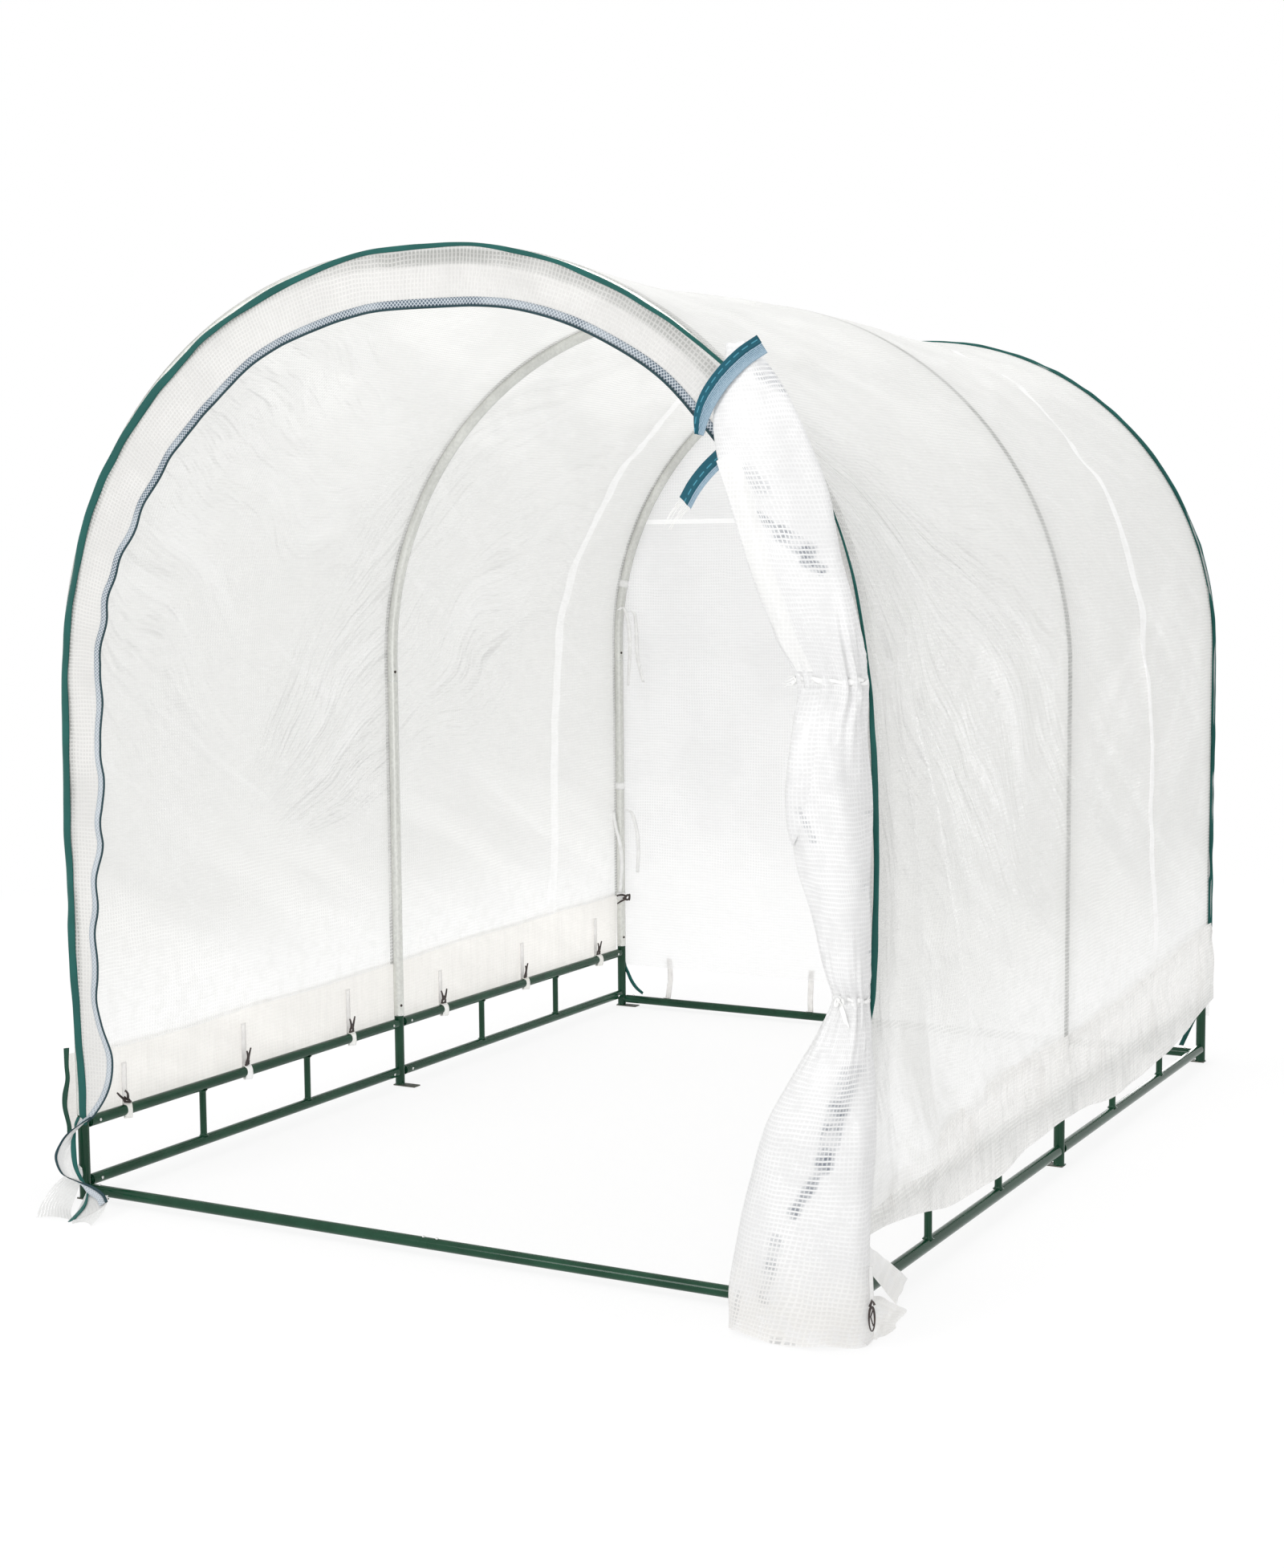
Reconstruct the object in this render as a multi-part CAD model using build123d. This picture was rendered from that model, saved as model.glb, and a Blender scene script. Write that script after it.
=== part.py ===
from build123d import *
import math
import os

# A walk-in polytunnel greenhouse: a green ground frame of posts and ladder rails,
# three bare steel arches, and a reinforced film cover. The zipped front door is
# open and tied up at the right-hand corner, and the rear one is closed.
# X runs across, Y runs from front to rear, Z is up. The origin is on the ground,
# on the centre line, midway between the frontmost and the rearmost point.

# ---- Driving dimensions, millimetres ---------------------------------------------

LENGTH = 2440.0  # first arch to last arch
WIDTH = 1820.0  # left legs to right legs, tube centres
CROWN_Z = 1980.0  # tube centre at the top of an arch
CROWN_FLAT = 124.0  # straight run of tube over the crown, between the two bends
ARCH_COUNT = 3

ARCH_D = 26.0
POST_D = 25.0
RAIL_D = 25.0
END_BAR_D = 24.0
BALUSTER_D = 16.0
STUB_D = 20.0  # spigots on the posts that carry the rails
STUB_SHOW = 5.0  # bare length of a spigot between post and rail
JOINT_GAP = 0.3  # between the two halves of a bar or an arch

POST_TOP = 188.0
LEG_TOP = 1077.0  # joint between an arch's leg and its bend
TOP_RAIL_Z = 168.0
BOTTOM_RAIL_Z = 37.0
END_BAR_Z = 22.0
BALUSTERS_PER_BAY = 2

FOOT_T = 3.0
FOOT_W = 28.0
FOOT_REACH = 42.0  # beyond the post, towards the middle of the tunnel

FILM_T = 2.5  # a stiff stand-in for woven film
SEAT = 0.3  # air between a soft piece and what carries it
BAND_W = 105.0  # fixed border of each end wall
FRONT_BAND_BOTTOM = 195.0
REAR_HEM_Z = 172.0
ZIP_W = 9.0
ZIP_T = 5.0
PIPING_D = 10.0
PIPING_BOTTOM = 172.0

LEFT_SEAM_Z = 332.0  # wall film above, skirt below
LEFT_SKIRT_BOTTOM = 156.0
SKIRT_FLARE_FROM = 45.0  # the left skirt starts to open this far behind the first arch
SKIRT_FLARE_OUT = 15.5
SKIRT_FRONT_REACH = 38.0  # it ends this far in front of the first arch
RIGHT_SEAM_Z = 302.0
RIGHT_SKIRT_BOTTOM = 112.0
RIGHT_SKIRT_LEAN = 16.0
SKIRT_END_GAP = 7.0  # a skirt stops this far short of the end piping

STRAP_W = 18.0
STRAP_T = 1.6
STRAP_SLACK = 0.4  # between a strap and the tube that it loops round
RAIL_STRAPS = 6  # along each top rail line
RAIL_STRAP_END = 146.0  # first and last strap, from the first and last arch
REAR_STRAP_INSETS = (155.0, 640.0)  # from the leg on each side

HOOK_PRONG_D = 4.0
HOOK_PRONG_LENGTH = 44.0
HOOK_SPREAD = 18.0  # lean of each prong, degrees
HOOK_BASE = 11.0

LOOP_W = 16.0
LOOP_T = 1.2
LEG_LOOPS_Z = (290.0, 831.0)  # film loops on the end arches' legs
BEND_LOOPS_DEG = (19.5, 68.5)  # and on their bends, from the spring line up

TIE_TAPE_W = 10.0
TIE_TAPE_T = 1.5
TIE_TAPE_LENGTH = 225.0
TIE_TAPE_TOPS = (-542.0, 93.0)  # from the spring line

FLAP_REACH = 176.0  # how far the tied-up door's hem lies in front of the first arch
FLAP_W = 256.0  # across its hem, from side to side
FLAP_OUTSIDE = 46.0  # the part of that width outside the cover's outline
FLAP_DEPTH = 148.0  # front to back, above the hem
FLAP_LIFT = 0.5  # its hem above the ground, so that the foot plates carry the weight
FLAP_TIE_W = 9.0
FLAP_TIE_T = 3.0
FLAP_TAPE_W = 26.0  # zip tape along the door's freed top edge
FLAP_TAPE_T = 2.0
LOOSE_TAPE_RUN = (88.0, 60.0)  # its loose end hangs this far out and down
WING_WIDTH = 42.0  # fold of the hem that lies outside the right-hand rail
WING_LENGTH = 100.0
WING_HEIGHT = 50.0

TAIL_W = 160.0  # loose film at the foot of the front band, as it lies on the ground
TAIL_REACH = 150.0  # in front of the band
TAIL_T = 6.0
REAR_TAIL_W = 12.0  # loose zip end at the rear left-hand corner
REAR_TAIL_T = 2.0

# ---- Values that follow from them -------------------------------------------------

HALF_W = WIDTH / 2
ARCH_R = ARCH_D / 2
CROWN_HALF = CROWN_FLAT / 2
BEND_R = HALF_W - CROWN_HALF  # centre-line radius of an arch's bends
SPRING_Z = CROWN_Z - BEND_R  # where the bends start to curve
FILM_IN = ARCH_R + SEAT  # from a tube's centre to the film around it
FILM_OUT = FILM_IN + FILM_T
PIPING_OFFSET = FILM_OUT + SEAT + PIPING_D / 2
REAR_REACH = FILM_IN + FILM_T / 2 + PIPING_D / 2
FRONT_Y = (FLAP_REACH - LENGTH - REAR_REACH) / 2
REAR_Y = FRONT_Y + LENGTH
BAY = LENGTH / (ARCH_COUNT - 1)
ARCH_YS = [FRONT_Y + BAY * i for i in range(ARCH_COUNT)]
RAIL_END = POST_D / 2 + STUB_SHOW  # from a post's centre to a rail's end
SIDES = {"left": -1, "right": 1}
PLACES = ("front", "middle", "rear")


# ---- Shapes shared by several pieces ----------------------------------------------


def rod(start, end, diameter):
    """A straight round bar from one point to another."""
    start = Vector(*start)
    run = Vector(*end) - start
    plane = Plane(origin=start, z_dir=run)
    return extrude(plane * Circle(diameter / 2), amount=run.length)


def block(low, high):
    """A box between two corners."""
    size = [b - a for a, b in zip(low, high)]
    centre = [(a + b) / 2 for a, b in zip(low, high)]
    return Pos(*centre) * Box(*size)


def end_plane(y):
    """An upright plane at y whose own x and y are the tunnel's X and Z."""
    return Plane(origin=(0, y, 0), x_dir=(1, 0, 0), z_dir=(0, -1, 0))


def arch_line(offset, bottom):
    """The arch's centre line moved outwards by offset, from leg to leg, in an end plane."""
    reach = HALF_W + offset
    radius = BEND_R + offset
    top = CROWN_Z + offset
    left_arc = RadiusArc((-reach, SPRING_Z), (-CROWN_HALF, top), radius)
    right_arc = RadiusArc((CROWN_HALF, top), (reach, SPRING_Z), radius)
    crown = Line((-CROWN_HALF, top), (CROWN_HALF, top))
    line = [left_arc, crown, right_arc]
    if bottom < SPRING_Z:
        left_leg = Line((-reach, bottom), (-reach, SPRING_Z))
        right_leg = Line((reach, SPRING_Z), (reach, bottom))
        line = [left_leg, *line, right_leg]
    return line


def arch_face(offset, bottom):
    """Everything under an arch line, down to a level edge."""
    reach = HALF_W + offset
    sill = Line((reach, bottom), (-reach, bottom))
    return make_face(arch_line(offset, bottom) + [sill])


def arch_plate(outer, inner, bottom, y_low, y_high):
    """An upright plate between two arch lines; inner None leaves it whole."""
    face = arch_face(outer, bottom)
    if inner is not None:
        face -= arch_face(inner, bottom - 1)
    return extrude(end_plane(y_high) * face, amount=y_high - y_low)


def outline_x(z):
    """Half the width of the film cover at a height."""
    rise = max(z - SPRING_Z, 0)
    radius = BEND_R + FILM_OUT
    return CROWN_HALF + math.sqrt(max(radius**2 - rise**2, 0))


def arch_frame(angle, side, y):
    """A plane across the arch tube, its x pointing outwards and its y to the rear.

    The angle is in degrees up the bend from the spring line.
    """
    turn = math.radians(angle)
    x = side * (CROWN_HALF + BEND_R * math.cos(turn))
    z = SPRING_Z + BEND_R * math.sin(turn)
    along = (-math.sin(turn), 0, side * math.cos(turn))
    outward = (side * math.cos(turn), 0, math.sin(turn))
    return Plane(origin=(x, y, z), x_dir=outward, z_dir=along)


def level_ellipse(left, right, front, back, z):
    """A level oval that touches the four given sides."""
    centre = ((left + right) / 2, (front + back) / 2, z)
    return Plane(origin=centre) * Ellipse((right - left) / 2, (back - front) / 2)


# ---- Ground frame -------------------------------------------------------------------


def post(side, index):
    """A corner or middle post with a spigot for each rail and end bar."""
    x = side * HALF_W
    y = ARCH_YS[index]
    body = rod((x, y, FOOT_T), (x, y, POST_TOP), POST_D)
    ways = [way for way in (-1, 1) if 0 <= index + way < ARCH_COUNT]
    for way in ways:
        for z in (TOP_RAIL_Z, BOTTOM_RAIL_Z):
            body += rod((x, y, z), (x, y + way * RAIL_END, z), STUB_D)
    if len(ways) == 1:
        body += rod((x, y, END_BAR_Z), (x - side * RAIL_END, y, END_BAR_Z), STUB_D)
    return body


def foot_plate(side, y):
    """The flat tab under a post, long enough to peg down."""
    inner = side * (HALF_W - POST_D / 2 - FOOT_REACH)
    outer = side * (HALF_W + POST_D / 2)
    low = (min(inner, outer), y - FOOT_W / 2, 0)
    high = (max(inner, outer), y + FOOT_W / 2, FOOT_T)
    return block(low, high)


def rails(side, z):
    """One rail in each bay between the posts of one side."""
    x = side * HALF_W
    return [
        rod((x, start + RAIL_END, z), (x, end - RAIL_END, z), RAIL_D)
        for start, end in zip(ARCH_YS, ARCH_YS[1:])
    ]


def balusters(side):
    """Short uprights between the two rails of one side."""
    x = side * HALF_W
    low = BOTTOM_RAIL_Z + RAIL_D / 2
    high = TOP_RAIL_Z - RAIL_D / 2
    step = BAY / (BALUSTERS_PER_BAY + 1)
    spots = [start + step * (i + 1) for start in ARCH_YS[:-1] for i in range(BALUSTERS_PER_BAY)]
    return [rod((x, y, low), (x, y, high), BALUSTER_D) for y in spots]


def end_bar(y):
    """The two halves of the bar across one end, joined in the middle."""
    reach = HALF_W - RAIL_END
    return [
        rod((side * JOINT_GAP / 2, y, END_BAR_Z), (side * reach, y, END_BAR_Z), END_BAR_D)
        for side in SIDES.values()
    ]


# ---- Arches ---------------------------------------------------------------------------


def arch_legs(y):
    return [
        rod((side * HALF_W, y, POST_TOP), (side * HALF_W, y, LEG_TOP), ARCH_D)
        for side in SIDES.values()
    ]


def arch_bends(y):
    """Both quarter bends of one arch, which meet at the crown."""
    bends = []
    for side in SIDES.values():
        foot = (side * HALF_W, LEG_TOP)
        spring = (side * HALF_W, SPRING_Z)
        shoulder = (side * CROWN_HALF, CROWN_Z)
        tip = (side * JOINT_GAP / 2, CROWN_Z)
        arc = RadiusArc(spring, shoulder, -side * BEND_R)
        path = end_plane(y) * Wire([Line(foot, spring), arc, Line(shoulder, tip)])
        section = Plane(origin=(side * HALF_W, y, LEG_TOP)) * Circle(ARCH_R)
        bends.append(sweep(section, path=path))
    return bends


# ---- Film cover -----------------------------------------------------------------------

COVER_FRONT = FRONT_Y - ARCH_R
COVER_REAR = REAR_Y + ARCH_R


def cover_wall(side, bottom):
    inner = side * (HALF_W + FILM_IN)
    outer = side * (HALF_W + FILM_OUT)
    low = (min(inner, outer), COVER_FRONT, bottom)
    high = (max(inner, outer), COVER_REAR, SPRING_Z)
    return block(low, high)


def cover_shoulder(side):
    """The curved film from one spring line up to the middle of the roof."""
    ring = arch_plate(FILM_OUT, FILM_IN, SPRING_Z, COVER_FRONT, COVER_REAR)
    reach = HALF_W + FILM_OUT
    low = (min(0, side * reach), COVER_FRONT, SPRING_Z)
    high = (max(0, side * reach), COVER_REAR, CROWN_Z + FILM_OUT)
    return ring & block(low, high)


def left_skirt():
    """The tight skirt outside the left wall, opening a little at the front corner."""
    inner = -(HALF_W + FILM_OUT + SEAT)
    bend_y = FRONT_Y + SKIRT_FLARE_FROM
    tip_y = FRONT_Y - SKIRT_FRONT_REACH
    rear_y = COVER_REAR - SKIRT_END_GAP
    plan = Polyline(
        (inner, rear_y),
        (inner, bend_y),
        (inner - SKIRT_FLARE_OUT, tip_y),
        (inner - SKIRT_FLARE_OUT - FILM_T, tip_y),
        (inner - FILM_T, bend_y),
        (inner - FILM_T, rear_y),
        close=True,
    )
    floor = Plane(origin=(0, 0, LEFT_SKIRT_BOTTOM))
    return extrude(floor * make_face(plan), amount=LEFT_SEAM_Z - LEFT_SKIRT_BOTTOM)


def right_skirt():
    """The loose skirt that hangs outside the right wall and stands off at its hem."""
    inner = HALF_W + FILM_OUT + SEAT
    front_y = COVER_FRONT + SKIRT_END_GAP
    rear_y = COVER_REAR - SKIRT_END_GAP
    profile = Polyline(
        (inner, RIGHT_SEAM_Z),
        (inner + FILM_T, RIGHT_SEAM_Z),
        (inner + FILM_T + RIGHT_SKIRT_LEAN, RIGHT_SKIRT_BOTTOM),
        (inner + RIGHT_SKIRT_LEAN, RIGHT_SKIRT_BOTTOM),
        close=True,
    )
    return extrude(end_plane(rear_y) * make_face(profile), amount=rear_y - front_y)


def end_faces(y, out):
    """Low and high y of the film across one end; out is -1 at the front, 1 at the rear."""
    near = y + out * FILM_IN
    far = y + out * FILM_OUT
    return min(near, far), max(near, far)


FRONT_FILM = end_faces(FRONT_Y, -1)
REAR_FILM = end_faces(REAR_Y, 1)
BAND_IN = FILM_OUT - BAND_W
ZIP_OUT = BAND_IN - SEAT
ZIP_IN = ZIP_OUT - ZIP_W


def front_band_sides():
    sides = []
    for side in SIDES.values():
        inner = side * (HALF_W + BAND_IN)
        outer = side * (HALF_W + FILM_OUT)
        low = (min(inner, outer), FRONT_FILM[0], FRONT_BAND_BOTTOM)
        high = (max(inner, outer), FRONT_FILM[1], SPRING_Z)
        sides.append(block(low, high))
    return sides


def zip_strip(film, bottom):
    """A closed zip along the inner edge of an end band."""
    middle = sum(film) / 2
    return arch_plate(ZIP_OUT, ZIP_IN, bottom, middle - ZIP_T / 2, middle + ZIP_T / 2)


def piping(film):
    """The bound edge all round one end of the cover."""
    middle = sum(film) / 2
    path = end_plane(middle) * Wire(arch_line(PIPING_OFFSET, PIPING_BOTTOM))
    start = Plane(origin=(-HALF_W - PIPING_OFFSET, middle, PIPING_BOTTOM))
    return sweep(start * Circle(PIPING_D / 2), path=path)


# ---- Tied-up front door ------------------------------------------------------------------

FLAP_BACK_Y = sum(FRONT_FILM) / 2 - PIPING_D / 2 - SEAT
TIE_ROOM = FLAP_TIE_T + 2 * SEAT

# Each level of the gathered door: its height, where 1 is the spring line and what is
# over 1 is a share of the bend radius; its left and right edge from the cover's
# outline, as shares of the door's width; its depth, as a share of the full depth.
FLAP_LEVELS = [
    (0.106, -0.73, 0.18, 1.0),
    (0.24, -0.63, 0.18, 0.9),
    (0.345, -0.51, 0.18, 0.83),
    (0.425, -0.32, 0.18, 0.73),
    (0.485, -0.14, 0.18, 0.56),
    (0.61, -0.1, 0.18, 0.6),
    (0.73, -0.27, 0.18, 0.73),
    (0.855, -0.36, 0.18, 0.8),
    (0.98, -0.32, 0.18, 0.73),
    (1.137, -0.43, 0.11, 0.56),
    (1.303, -0.53, 0.03, 0.53),
    (1.468, -0.54, 0.16, 0.46),
    (1.601, -0.45, 0.23, 0.39),
    (1.684, -0.18, 0.35, 0.32),
    (1.755, 0.17, 0.43, 0.22),
]
# The waists where it is tied, in the same terms.
FLAP_WAISTS = [
    (0.54, -0.05, 0.16, 0.45),
    (1.054, -0.31, 0.14, 0.49),
]


def flap_height(share):
    """Turn a level's share into a height."""
    return SPRING_Z * min(share, 1) + BEND_R * max(share - 1, 0)


def flap_sides(level, back):
    """Left, right, front and back of the door at one level, and its height."""
    share, left, right, depth = level
    z = flap_height(share)
    edge = outline_x(z)
    return edge + left * FLAP_W, edge + right * FLAP_W, back - depth * FLAP_DEPTH, back, z


def door_flap():
    """The gathered door from its zip edge down to the hem on the ground."""
    foot_right = outline_x(0) + FLAP_OUTSIDE
    hem_front = FRONT_Y - FLAP_REACH
    levels = [(foot_right - FLAP_W, foot_right, hem_front, FLAP_BACK_Y, FLAP_LIFT)]
    levels += [flap_sides(level, FLAP_BACK_Y) for level in FLAP_LEVELS]
    for waist in FLAP_WAISTS:
        *sides, z = flap_sides(waist, FLAP_BACK_Y - TIE_ROOM)
        levels += [(*sides, z - FLAP_TIE_W), (*sides, z + FLAP_TIE_W)]
    levels.sort(key=lambda level: level[-1])
    gathered = loft([level_ellipse(*level) for level in levels], ruled=True)
    wing_low = (foot_right - WING_WIDTH, FLAP_BACK_Y - WING_WIDTH, FLAP_LIFT)
    wing_high = (foot_right, FLAP_BACK_Y + WING_LENGTH, WING_HEIGHT)
    return gathered + block(wing_low, wing_high)


def door_ties():
    """The tapes round the door's waists."""
    ties = []
    for waist in FLAP_WAISTS:
        left, right, front, back, z = flap_sides(waist, FLAP_BACK_Y - TIE_ROOM)
        inner = level_ellipse(left - SEAT, right + SEAT, front - SEAT, back + SEAT, z)
        grow = SEAT + FLAP_TIE_T
        outer = level_ellipse(left - grow, right + grow, front - grow, back + grow, z)
        ties.append(extrude(outer - inner, amount=FLAP_TIE_W / 2, both=True))
    return ties


def flap_zip_tape():
    """The zip tape on the door's top edge, and its loose end beside the doorway."""
    *_, low, middle, top = [flap_sides(level, FLAP_BACK_Y) for level in FLAP_LEVELS]
    inner = [(left - SEAT, z) for left, right, front, back, z in (low, middle, top)]
    left, right, front, back, z = top
    inner += [(left - SEAT, z + SEAT), (right, z + SEAT)]
    slope = FLAP_TAPE_W / 4
    outer = [(x - FLAP_TAPE_W, z + i * slope) for i, (x, z) in enumerate(inner[:3])]
    outer.append((right, z + SEAT + FLAP_TAPE_W))
    edge = make_face(Polyline(*inner, *reversed(outer), close=True))
    middle_y = (middle[2] + middle[3]) / 2
    pieces = [extrude(end_plane(middle_y) * edge, amount=FLAP_TAPE_T / 2, both=True)]

    left, right, front, back, z = flap_sides(FLAP_LEVELS[-4], FLAP_BACK_Y)
    start_x = left - SEAT
    run, drop = LOOSE_TAPE_RUN
    loose = Polyline(
        (start_x, z),
        (start_x, z - FLAP_TAPE_W),
        (start_x - run, z - FLAP_TAPE_W - drop),
        (start_x - run, z - drop),
        close=True,
    )
    loose_plane = end_plane((front + back) / 2)
    pieces.append(extrude(loose_plane * make_face(loose), amount=FLAP_TAPE_T / 2, both=True))
    return pieces


# ---- Loose ends of the zips -----------------------------------------------------------------


# Each level of the front tail, from the band down to the ground: height as a share of
# its top; left and right from the leg and front and back from the band, as shares of
# the puddle's width and reach.
TAIL_LEVELS = [
    (1.0, 0.2, 0.54, 0.12, 0.0),
    (0.6, -0.17, 0.09, 0.41, 0.16),
    (0.25, 0.03, 0.29, 0.67, 0.32),
]


def level_rectangle(left, right, front, back, z):
    """A level rectangle with the four given sides."""
    plane = Plane(origin=((left + right) / 2, (front + back) / 2, z))
    return plane * Rectangle(right - left, back - front)


def front_zip_tail():
    """The foot of the left band: it loops outwards and ends in a puddle of film."""
    top = FRONT_BAND_BOTTOM - SEAT
    band_y = FRONT_FILM[0]
    levels = [
        (
            -HALF_W + left * TAIL_W,
            -HALF_W + right * TAIL_W,
            band_y - front * TAIL_REACH,
            band_y - back * TAIL_REACH,
            top * share,
        )
        for share, left, right, front, back in TAIL_LEVELS
    ]
    edge = TAIL_W / 8
    puddle_left = -HALF_W + TAIL_W / 16
    puddle_right = puddle_left + TAIL_W
    puddle_front = band_y - TAIL_REACH
    puddle_back = band_y - TAIL_REACH / 10
    hem = (puddle_left + edge, puddle_right - 2 * edge, puddle_front + edge, puddle_back - edge)
    levels += [(*hem, TAIL_T), (puddle_left, puddle_right, puddle_front, puddle_back, FLAP_LIFT)]
    return loft([level_rectangle(*level) for level in levels], ruled=True)


def rear_zip_tail():
    """A narrow loose end that droops from the rear left-hand corner onto the end bar."""
    y = REAR_FILM[0] - SEAT - REAR_TAIL_T
    x = -HALF_W + POST_D / 2 + REAR_TAIL_T
    foot = END_BAR_Z + END_BAR_D / 2 + SEAT
    top = REAR_HEM_Z - SEAT
    middle = (foot + top) / 2
    outline = Polyline(
        (x, top),
        (x + REAR_TAIL_T, middle),
        (x + 4 * REAR_TAIL_W, foot),
        (x + 5 * REAR_TAIL_W, foot),
        (x + REAR_TAIL_T + REAR_TAIL_W, middle),
        (x + REAR_TAIL_W, top),
        close=True,
    )
    return extrude(end_plane(y + REAR_TAIL_T) * make_face(outline), amount=REAR_TAIL_T)


# ---- Straps, hooks, loops and tapes ------------------------------------------------------------


def strap_ring(plane, bore, thickness, width):
    """A flat strap round a tube, centred on the plane's origin."""
    ring = Circle(bore + thickness) - Circle(bore)
    return extrude(plane * ring, amount=width / 2, both=True)


def strap_ys():
    """Where the straps grip a top rail."""
    step = (LENGTH - 2 * RAIL_STRAP_END) / (RAIL_STRAPS - 1)
    return [FRONT_Y + RAIL_STRAP_END + step * i for i in range(RAIL_STRAPS)]


def rail_straps():
    bore = RAIL_D / 2 + STRAP_SLACK
    return [
        strap_ring(Plane(origin=(side * HALF_W, y, TOP_RAIL_Z), z_dir=(0, 1, 0)), bore, STRAP_T, STRAP_W)
        for side in SIDES.values()
        for y in strap_ys()
    ]


def rear_straps():
    """Straps from the rear door's hem that loop round the rear end bar."""
    bore = END_BAR_D / 2 + STRAP_SLACK
    straps = []
    for x in [side * (HALF_W - inset) for side in SIDES.values() for inset in REAR_STRAP_INSETS]:
        centre = (x, REAR_Y, END_BAR_Z)
        ring = strap_ring(Plane(origin=centre, z_dir=(1, 0, 0)), bore, STRAP_T, STRAP_W)
        low = (x - STRAP_W / 2, REAR_Y + bore, END_BAR_Z)
        high = (x + STRAP_W / 2, REAR_Y + bore + STRAP_T, REAR_HEM_Z - SEAT)
        straps.append(ring + block(low, high))
    return straps


def snap_hook(place):
    """A two-pronged plastic hook; its base stands on the place's origin."""
    half = HOOK_BASE / 2
    hook = block((-HOOK_PRONG_D / 2, -half, 0), (HOOK_PRONG_D / 2, half, HOOK_BASE))
    lean = math.radians(HOOK_SPREAD)
    for way in (-1, 1):
        root = (0, way * (half - HOOK_PRONG_D / 2), HOOK_BASE - HOOK_PRONG_D / 2)
        tip_y = root[1] + way * HOOK_PRONG_LENGTH * math.sin(lean)
        tip_z = root[2] + HOOK_PRONG_LENGTH * math.cos(lean)
        hook += rod(root, (0, tip_y, tip_z), HOOK_PRONG_D)
    return place * hook


def snap_hooks():
    """One hook on each rail strap, and one on the rear left-hand leg."""
    z = TOP_RAIL_Z + RAIL_D / 2 + STRAP_SLACK + STRAP_T + SEAT
    places = [Location((side * HALF_W, y, z)) for side in SIDES.values() for y in strap_ys()]
    leg_hook_x = -HALF_W + ARCH_R + SEAT + HOOK_PRONG_D / 2
    leg_hook_z = LEFT_SEAM_Z + HOOK_BASE
    places.append(Location((leg_hook_x, REAR_Y + HOOK_BASE / 2, leg_hook_z), (90, 0, 0)))
    return [snap_hook(place) for place in places]


def film_loop(plane, band_side):
    """A film strap round an arch tube, open where it is welded to the cover."""
    reach = ARCH_R + SEAT + LOOP_T
    keep = FILM_IN - SEAT
    cover_side = block((keep, -reach, -LOOP_W), (reach, reach, LOOP_W))
    band_ys = sorted((band_side * keep, band_side * reach))
    band = block((-reach, band_ys[0], -LOOP_W), (reach, band_ys[1], LOOP_W))
    corner_ys = sorted((0, band_side * reach))
    corner = block((0, corner_ys[0], -LOOP_W), (reach, corner_ys[1], LOOP_W))
    loop = strap_ring(plane, ARCH_R + SEAT, LOOP_T, LOOP_W)
    return loop - plane.location * (cover_side + band + corner)


def arch_loops():
    """The loops that hold both end bands to their arches."""
    loops = []
    for y, band_side in ((FRONT_Y, -1), (REAR_Y, 1)):
        for side in SIDES.values():
            for z in LEG_LOOPS_Z:
                leg = Plane(origin=(side * HALF_W, y, z), x_dir=(side, 0, 0), z_dir=(0, 0, side))
                loops.append(film_loop(leg, band_side))
            for angle in BEND_LOOPS_DEG:
                loops.append(film_loop(arch_frame(angle, side, y), band_side))
    return loops


def tie_tapes():
    """Two pairs of tapes for tying up the rear door, hanging inside the left-hand leg."""
    far = REAR_FILM[0] - SEAT
    tapes = []
    for rise in TIE_TAPE_TOPS:
        top = SPRING_Z + rise
        for place in range(2):
            x = -HALF_W + ARCH_R + SEAT + LOOP_T + SEAT + place * 1.5 * TIE_TAPE_W
            bottom = top - TIE_TAPE_LENGTH + place * TIE_TAPE_W
            tapes.append(block((x, far - TIE_TAPE_T, bottom), (x + TIE_TAPE_W, far, top)))
    return tapes


# ---- Write every node -----------------------------------------------------------------------------


def write(name, shape):
    """Write one node, made of one solid or of several that do not touch."""
    if isinstance(shape, list):
        shape = Compound(children=[solid for part in shape for solid in part.solids()])
    export_step(shape, f"parts/{name}.step")


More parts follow.
